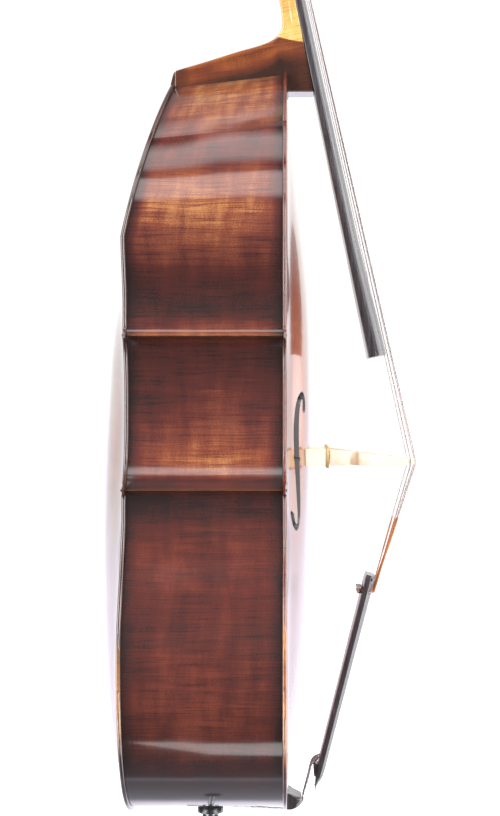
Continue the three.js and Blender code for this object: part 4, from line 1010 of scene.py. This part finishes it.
def make_neck():
    """Overlapping solids, melted into one and hollowed."""
    skin = merged(neck_shaft(), heel(), pegbox(), *scroll())
    obj = piece("neck_fine", placed(skin, from_neck), NECK_WOOD, ride=False)
    melt = obj.modifiers.new("melt", "REMESH")
    melt.mode, melt.voxel_size, melt.adaptivity = "VOXEL", 1.25 * MM, 0.0
    soften = obj.modifiers.new("soften", "SMOOTH")
    soften.factor, soften.iterations = 0.5, 4
    bake(obj, 60)
    cavity = loft([[(-half, -30, z), (half, -30, z), (half * 0.8, 51, z), (-half * 0.8, 51, z)]
                   for z, half in ((12, 16), (160, 12))])
    cutters = [piece("cut_cavity", placed(cavity, from_neck), RAW, ride=False)]
    for name, (_, along) in PEGS.items():
        cutters.append(bore(f"cut_bore_{name}", 8.6, -45, 45, (1, 0, 0), (0, PEG_Y, along), from_neck, 36))
    carve(obj, cutters, 45)
    points = np.empty(len(obj.data.vertices) * 3)
    obj.data.vertices.foreach_get("co", points)
    mark(obj.data, neck_looks(points.reshape(-1, 3) / MM - (0, 0, BODY_Z)))
    settle(obj, ROOT, "neck_and_scroll")


# ------------------------------------------------------------------ fingerboard, saddle, tailpiece
def rounded_section(half, bottom, crown, z):
    """A section with a flat underside, upright sides and a curved top, its corners rounded a little."""
    soft, count = 1.2, 20
    corner = [(half - soft, bottom), (half - 0.3 * soft, bottom - 0.3 * soft), (half, bottom - soft),
              (half, soft - crown(half))]
    ring = [(-corner[0][0], bottom, z)] + [(x, y, z) for x, y in corner]
    for x in half * np.cos(np.linspace(0, np.pi, count)):
        pull = soft * 0.45 * smooth((abs(x) - half + 2 * soft) / (2 * soft))
        ring.append((x - math.copysign(pull * 0.3, x), pull - crown(x), z))
    return ring + [(-x, y, z) for x, y in corner[:0:-1]]


def make_fingerboard():
    end = -BOARD_LENGTH
    rings = []
    for z in np.concatenate([np.linspace(-GAP, end + 3, 60), [end + 1, end + 0.2, end]]):
        full = float(board_half(z))
        shrink = 1.2 * max(0, 1 - (z - end) / 3) ** 2
        rings.append(rounded_section(full - 0.4 * shrink, -GAP,
                                     lambda x: float(board_top(min(abs(x), full), z)) - shrink, z))
    piece("fingerboard_fine", placed(loft(rings), from_neck), EBONY, ROOT, "fingerboard", crease=30)


def make_saddle():
    side = Outline((-111, -3), (-116, -3, -119, -3.1, -122, -3.1), (-134, -3, -139.6, 2, -139.6, 9),
                   (-139.6, 13, -137, 14, -133, 15.5), (-127, 17.5, -124, 21.3, -119, 21.4),
                   (-116, 21.4, -113, 21.4, -111, 21.4), (-111, 12, -111, 4, -111, -3)).points[::14]
    rings = []
    for x in np.linspace(-36, 36, 40):
        taper = max(0, abs(x) - 22) / 14
        ring = side.copy()
        ring[:, 0] = -119 + (ring[:, 0] + 119) * (1 - 0.35 * taper ** 2 * (ring[:, 0] < -119))
        rings.append(np.insert(ring, 0, x, axis=1))
    piece("saddle_fine", loft(rings), EBONY, ROOT, "saddle")


# Where the bottom end is pared thin: height along the tailpiece, and how far the underside moves out and the
# crown drops.
TAIL_PARING = np.array([(-338, 4, 6.9), (-332, 3.2, 5.5), (-318, 1.2, 0.5), (-304, 0, 0), (0, 0, 0)])
TAIL_HOLE_Z = -26


def tail_half(z):
    return 42 + (23 - 42) * (-z / TAIL_LENGTH)


def tail_crown(x, z):
    x = min(abs(x), tail_half(z))
    swell = 8 * (1 + 0.4 * z / TAIL_LENGTH)
    drop = read_table(TAIL_PARING, z, 2)
    return max(2 + read_table(TAIL_PARING, z), 8 + swell * (1 - (x / tail_half(z)) ** 2) - drop)


def make_tailpiece():
    rings = []
    for z in np.concatenate([[-0.01, -0.6, -2, -5], np.linspace(-12, -330, 50), [-333, -336, -337.4, -338]]):
        shrink = max(0, 1 - min(-z, TAIL_LENGTH + z) / 5) ** 2
        bottom = -0.2 - read_table(TAIL_PARING, z) - 0.6 * shrink
        rings.append(rounded_section(tail_half(z) - 4 * shrink, bottom,
                                     lambda x: tail_crown(x, z) - 1.2 * shrink, z))
    skin = placed(loft(rings), from_tail)
    obj = piece("tailpiece_fine", skin, EBONY, ROOT, "tailpiece", crease=32)
    cutters = []
    for name, (_, _, _, x) in STRINGS.items():
        cutters.append(bore(f"cut_hole_{name}", 3, -30, 30, (0, 1, 0), (x, 0, TAIL_HOLE_Z), from_tail))
        slit = loft([[(x + side, y, z) for side, z in ((-1.6, -26), (1.6, -26), (1.6, -13), (-1.6, -13))]
                     for y in (-30, 20)])
        cutters.append(piece(f"cut_slit_{name}", placed(slit, from_tail), RAW, ride=False))
    carve(obj, cutters, 32)
    # The ridge that the strings cross, and the block that the wire is tied in.
    profile = ((0.6, -3.4), (-1.2, -4), (-1.9, -6), (-1.2, -8), (0.6, -8.6))
    ridge = [[(x, up - tail_crown(x, -6), z) for up, z in profile] for x in np.linspace(-40, 40, 25)]
    piece("tailpiece_ridge", placed(loft(ridge), from_tail), EBONY)
    wedge = ((-5.5, -300.4), (6.6, -300.4), (6.9, -301), (6.9, -303), (4.4, -310.5), (1.6, -318.6),
             (-5.5, -318.6))
    block = loft([[(x, y, z) for y, z in wedge] for x in (-18, 18)])
    bevel(piece("tailpiece_heel", placed(block, from_tail), EBONY), 0.9, 3)


# ------------------------------------------------------------------ bridge
BRIDGE_Z = 519.2
BRIDGE_TOP = -312.5
FOOT_THICK = 24.8
CROWN_THICK = 8
CROWN_RADIUS = 82
# The adjusters' wheels stand in a gap between the feet and the body.
WHEEL_Y = -178.0
WHEEL_ROOM = 3.3
LEG_X = 58
THREAD_PITCH = 1.25
# The bridge's right side from the leg up, with its hook, open kidney and wing, and the arch between its legs.
BRIDGE_SIDE = np.array([(75, 0), (75.4, 12), (74.5, 21), (72.6, 27), (68, 30.6), (62, 29), (56, 25.4),
                        (49.5, 25.6), (43.4, 30.4), (42.4, 37), (48, 43), (57, 43.6), (66, 41.2), (72.6, 43),
                        (74.6, 50), (74.4, 61), (71.4, 67.2), (63.6, 69), (58, 74), (54.6, 84), (52, 98)])
BRIDGE_ARCH = np.array([(-42, 0), (-38, 5), (-30, 12.6), (-22, 20.6), (-12, 26.4), (0, 28), (12, 26.4),
                        (22, 20.6), (30, 12.6), (38, 5), (42, 0)])


def crown_y(x):
    return BRIDGE_TOP + CROWN_RADIUS - np.sqrt(CROWN_RADIUS ** 2 - x * x)


def leg_at(side):
    return side * LEG_X, WHEEL_Y, BRIDGE_Z + FOOT_THICK / 2


def make_bridge():
    base = WHEEL_Y - WHEEL_ROOM
    right, arch = (spline(table, 6) * (1, -1) + (0, base) for table in (BRIDGE_SIDE, BRIDGE_ARCH))
    xs = np.linspace(49, -49, 40)
    crown = np.stack([xs, crown_y(xs)], 1)
    shoulder = np.array([(50, crown_y(50))])
    outline = np.concatenate([right, shoulder, crown, shoulder * (-1, 1), right[::-1] * (-1, 1), arch[1:-1]])
    thick = FOOT_THICK + (CROWN_THICK - FOOT_THICK) * (WHEEL_Y - outline[:, 1]) / (WHEEL_Y - BRIDGE_TOP)
    skin = loft([np.insert(outline, 2, BRIDGE_Z + share * thick, axis=1) for share in (0, 1)])
    obj = piece("bridge_fine", skin, BRIDGE_WOOD, ride=False)
    heart = closed_curve((0, -48), (6, -54, 14, -60, 12, -69), (10, -77, 3, -78, 0, -71),
                         (-3, -78, -10, -77, -12, -69), (-14, -60, -6, -54, 0, -48)) + (0, base)
    cutters = [prism("cut_heart", heart, 500, 560, 2)]
    cutters += [bore(f"cut_leg_{label}", 3.8, -5, 24, (0, -1, 0), leg_at(side)) for label, side in SIDES]
    carve(obj, cutters, 40)
    bevel(obj, 0.7, 2, 50)
    settle(obj, "bridge_body", "bridge")
    for label, side in SIDES:
        make_adjuster(label, side)
        make_foot(label, side)


def make_adjuster(label, side):
    """A knurled wheel on a threaded stud."""
    rim = [(0, -2.4), (15.6, -2.4), (16.6, -1.7), (16.8, 0), (16.6, 1.7), (15.6, 2.4), (0, 2.4)]
    wheel, faces = turned(rim, 72)
    turn = np.arctan2(wheel[:, 1], wheel[:, 0])
    notched = np.round(turn / (2 * np.pi) * 72) % 2 * (np.hypot(wheel[:, 0], wheel[:, 1]) > 16.5)
    wheel[:, :2] *= (1 - 0.018 * notched)[:, None]
    run = np.linspace(-12, 22, 150)
    threads = [(2.75 + 0.4 * abs(math.sin(math.pi * h / THREAD_PITCH)), h) for h in run]
    stud = turned([(0, run[0])] + threads + [(0, run[-1])], 20)
    skin = aimed(merged((wheel, faces), stud), (0, -1, 0), leg_at(side))
    piece(f"adjuster_fine_{label}", skin, PALE_BRASS, f"adjuster_{label}", f"bridge_adjuster_{label}",
          crease=28)


def make_foot(label, side):
    """A foot of the bridge, fitted to the arch of the top plate."""
    rings = []
    top = WHEEL_Y + WHEEL_ROOM
    across = np.linspace(BRIDGE_Z, BRIDGE_Z + FOOT_THICK, 6)
    for from_middle in np.linspace(30, 88, 50):
        x = side * from_middle
        ramp = smooth((from_middle - 30) / 13) * smooth((88 - from_middle) / 14)
        under = float(top_y(x, BRIDGE_Z + 12)) - 0.6
        upper = max(under - 4 + (top - under + 4) * ramp, top)
        sole = [(x, float(top_y(x, z)) - 0.45, z) for z in across]
        rings.append(sole + [(x, upper, z) for z in across[::-1]])
    obj = piece(f"bridge_foot_fine_{label}", loft(rings), BRIDGE_WOOD, ride=False)
    carve(obj, [bore("cut_socket", 3.8, -14, 5, (0, -1, 0), leg_at(side))], 30)
    bevel(obj, 0.6, 2, 50)
    settle(obj, ROOT, f"bridge_foot_{label}")


# ------------------------------------------------------------------ tail wire and end pin
COLLAR_RADIUS = 15
WIRE_RADIUS = 1.6


def bend_line(points, step=2.0):
    """A line of points with its corners rounded, at even steps."""
    fine = spline(np.insert(np.asarray(points, float), 0, np.arange(len(points)), axis=1), 24)[:, 1:]
    run = run_along(fine)
    return read_off(fine, run, np.linspace(0, run[-1], max(3, int(run[-1] / step))))


def make_wire():
    """One strand from the tailpiece over the saddle, round the end pin's collar and back."""
    tied = [from_tail(p) for p in ((11, -5, -286), (11, 3, -291), (11, 9.4, -300))]
    over = [np.array(p) for p in ((11.5, -141.9, 13.2), (11.8, -142, 9.2), (12.2, -138.8, 2.8),
                                  (12.8, -131.2, -3), (13.2, -121.6, -5.6), (14, -100, -4.6),
                                  (16, -45, -1.6))]
    hanging = [tied[2] + (over[0] - tied[2]) * t for t in (0.5, 0.86)]
    half = tied + hanging + over
    wrap = COLLAR_RADIUS + WIRE_RADIUS + 0.5
    loop = [(wrap * math.cos(a), wrap * math.sin(a), 1.2) for a in np.linspace(0, math.pi, 13)]
    line = bend_line(half + loop + [p * (-1, 1, 1) for p in half[::-1]], 0.9)
    skin, run = sweep(line, 1.42, 14, 6, 0.1, 2 * math.pi / 9)
    piece("tail_wire_fine", skin, WIRE_METAL, ROOT, "tail_wire", run, crease=60)
    for label, side in SIDES:
        a, b = (from_tail((side * 11, y, z)) for y, z in ((3.2, -291.4), (9.4, -301.4)))
        crimp = [a + (b - a) * t for t in np.linspace(0, 1, 60)]
        skin, run = sweep(crimp, 2.15 + 0.3 * np.abs(np.sin(np.linspace(0, 9 * np.pi, 60))), 20)
        piece(f"wire_collar_{label}", skin, STEEL, attributes=run)


def make_end_pin():
    collar = [(5.7, -14), (17.5, -14), (19.4, -13.2), (20, -11.5), (20, -7), (19, -4.4), (16.6, -3),
              (15, -1.6), (14.6, 1.4), (15, 4.6), (14.9, 8), (13.5, 74), (5.7, 74)]
    piece("endpin_collar_fine", turned(collar, 48), EBONY, ROOT, "endpin_collar", crease=40)
    ferrule = [(5.7, -36), (10.4, -36), (11.5, -35.2), (12.3, -33.6), (12.5, -31), (12.5, -18.4),
               (11.6, -17.6), (12.5, -16.8), (12.5, -14.4), (5.7, -14.4)]
    skin = turned(ferrule, 48)
    piece("endpin_ferrule_fine", skin, PIN_STEEL, ROOT, "endpin_ferrule", crease=30)
    rod = [(0, -168), (4.4, -168), (5, -167.2)] + [(5, z) for z in np.linspace(-160, 255, 8)]
    rod += [(5, 261), (4.4, 262), (0, 262)]
    piece("endpin_rod_fine", turned(rod), PIN_STEEL, "endpin", "endpin_rod", crease=50)
    foot = [(0, -180), (11.6, -180), (12.9, -179.2), (13.7, -177.6), (14, -175.4)]
    for k in range(4):
        z = -171 + 6 * k
        r = 13.2 - 1.05 * k
        foot += [(r, z - 1.2), (r - 0.9, z), (r - 0.2, z + 1.4), (r - 0.5, z + 4)]
    foot += [(9.2, -147.6), (8.2, -146), (5.3, -146), (5.3, -168.3), (0, -168.3)]
    piece("endpin_tip_fine", turned(foot, 40), RUBBER, "endpin", "endpin_tip", crease=40)
    refined("endpin_thumbscrew", PIN_STEEL, 1.1, 40, 3)


# ------------------------------------------------------------------ strings
# Radius, and place in X on the nut, on the bridge and in the tailpiece.
STRINGS = {"E": (1.2, -15, -40, -30), "A": (1.05, -5, -13.5, -10), "D": (0.85, 5, 13.5, 10),
           "G": (0.7, 15, 40, 30)}
ROLLER_RADIUS = 8
WINDS = 2.2
WIND_STEPS = 24
SILK_SHARE = 0.58


def winding(name):
    """The line over the nut and round the roller."""
    r, nut_x = STRINGS[name][:2]
    side, along = PEGS[name]
    lift = r + GAP
    nut = float(board_top(abs(nut_x) - r, 0)) + 2.2 + lift
    coil = (ROLLER_RADIUS + lift) / math.cos(math.pi / 10)
    line = [(nut_x, -nut - 0.1, 0), (nut_x, -nut - 0.2, 4), (nut_x, -nut, 8.8)]
    for i in range(int(WINDS * WIND_STEPS) + 1):
        angle = 2 * math.pi * i / WIND_STEPS - 0.3
        x = nut_x * 0.55 - side * (2 * r + 0.4) * i / WIND_STEPS
        line.append((x, PEG_Y - coil * math.cos(angle), along + coil * math.sin(angle)))
    return from_neck(line)


def make_string(name):
    """A string in three stretches, with its silk and its ball."""
    r, _, bridge_x, tail_x = STRINGS[name]
    top = float(crown_y(abs(bridge_x) - r)) - (r + GAP) + 0.12
    tail = [from_tail((tail_x, y, z)) for y, z in ((2.6, TAIL_HOLE_Z), (-15.4, -25.6), (-17.4, -22.4))]
    rest, middle, rest_up = (np.array((bridge_x, top - sink, BRIDGE_Z + z))
                             for sink, z in ((0, -0.6), (0.15, 4.4), (0, 9.4)))
    up = [tail[-1] + (rest - tail[-1]) * t for t in np.linspace(0.03, 1, 70)]
    after = np.concatenate([bend_line(tail, 1.2), up, [middle]])
    wound = winding(name)
    speaking = [middle] + [rest_up + (wound[0] - rest_up) * t for t in np.linspace(0, 1, 120)]
    silk_end = tail[-1] + (rest - tail[-1]) * SILK_SHARE
    silk = [p for p in after if tail[-1][2] <= p[2] < silk_end[2]]
    silk_radius = np.full(len(silk), r + 0.32)
    silk_radius[-3:] = r + 0.2

    def strand(part, line, radius, material):
        skin, run = sweep(line, radius, 12)
        return piece(f"string_{name}_{part}", skin, material, attributes=run, crease=70, ride=False)

    lower = [strand("after", after, r, STRING_METAL)]
    upper = strand("speaking", speaking, r, STRING_METAL)
    on_roller = [strand("winding", wound, r, STRING_METAL)]
    lower.append(strand("silk", silk, silk_radius, SILK))
    on_roller.append(strand("peg_silk", wound[3:], r + 0.18, SILK))
    for obj in lower:
        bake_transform(obj)
    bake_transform(upper)
    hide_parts(f"string_{name}")
    for obj in on_roller:
        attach(obj, ROOT)
    make_ball(name, tail_x)


def make_ball(name, tail_x):
    """The ball that holds the string in the tailpiece, lying across it."""
    half = [(0, 4.6), (3.4, 4.6), (4.1, 4.0), (4.1, 3.0), (3.0, 2.2)]
    profile = [(r, -h) for r, h in half] + [(2.8, 0)] + half[::-1]
    skin = placed(aimed(turned(profile, 28), (0, 0.3, 1), (tail_x, 4.3, TAIL_HOLE_Z)), from_tail)
    piece(f"string_{name}_ball", skin, STEEL, crease=30)


# ------------------------------------------------------------------ tuning machines and what is inside
def make_tuners():
    for name, (side, along) in PEGS.items():
        refined(f"machine_plate_{name}", BRASS, 0.5)
        refined(f"peg_gear_{name}", BRASS, 0.25, 25)
        refined(f"worm_key_{name}", BRASS, 0.7, 40)
        refined(f"peg_{name}", STEEL, 0.4)
        dome = turned([(0, 0), (3.3, 0), (3.3, 0.5), (2.8, 1.2), (1.6, 1.7), (0, 1.9)], 24)
        heads = [aimed(dome, (side, 0, 0), (side * 27.8, y, along + up))
                 for up in (-10.5, 28.7) for y in (9, 43)]
        skin = placed(merged(*heads), from_neck)
        piece(f"machine_screws_{name}", skin, STEEL, crease=40)
        # The screw that holds the gear on the roller's square end.
        cap = turned([(0, 0), (5.4, 0), (5.4, 0.9), (4.6, 1.8), (2.4, 2.4), (0, 2.5)], 28)
        skin = placed(aimed(cap, (side, 0, 0), (side * 41.05, PEG_Y, along)), from_neck)
        piece(f"gear_screw_{name}", skin, STEEL, f"roller_{name}", crease=40)


def make_inside():
    """The CAD parts that are shown as they are, in raw wood."""
    for node in frame["nodes"]:
        if node.startswith(("lining", "corner", "neck_block", "end_block", "bass_bar", "sound_post")):
            materials = frame["nodes"][node].data.materials
            materials.clear()
            materials.append(RAW)


set_view()
light_world()
hang_softboxes()
hang_fills()
lay_floor()
make_ribs()
make_plates()
make_neck()
make_fingerboard()
refined("nut", EBONY, 0.7, segments=3)
make_saddle()
make_tailpiece()
make_bridge()
make_wire()
make_end_pin()
for string in STRINGS:
    make_string(string)
make_tuners()
make_inside()
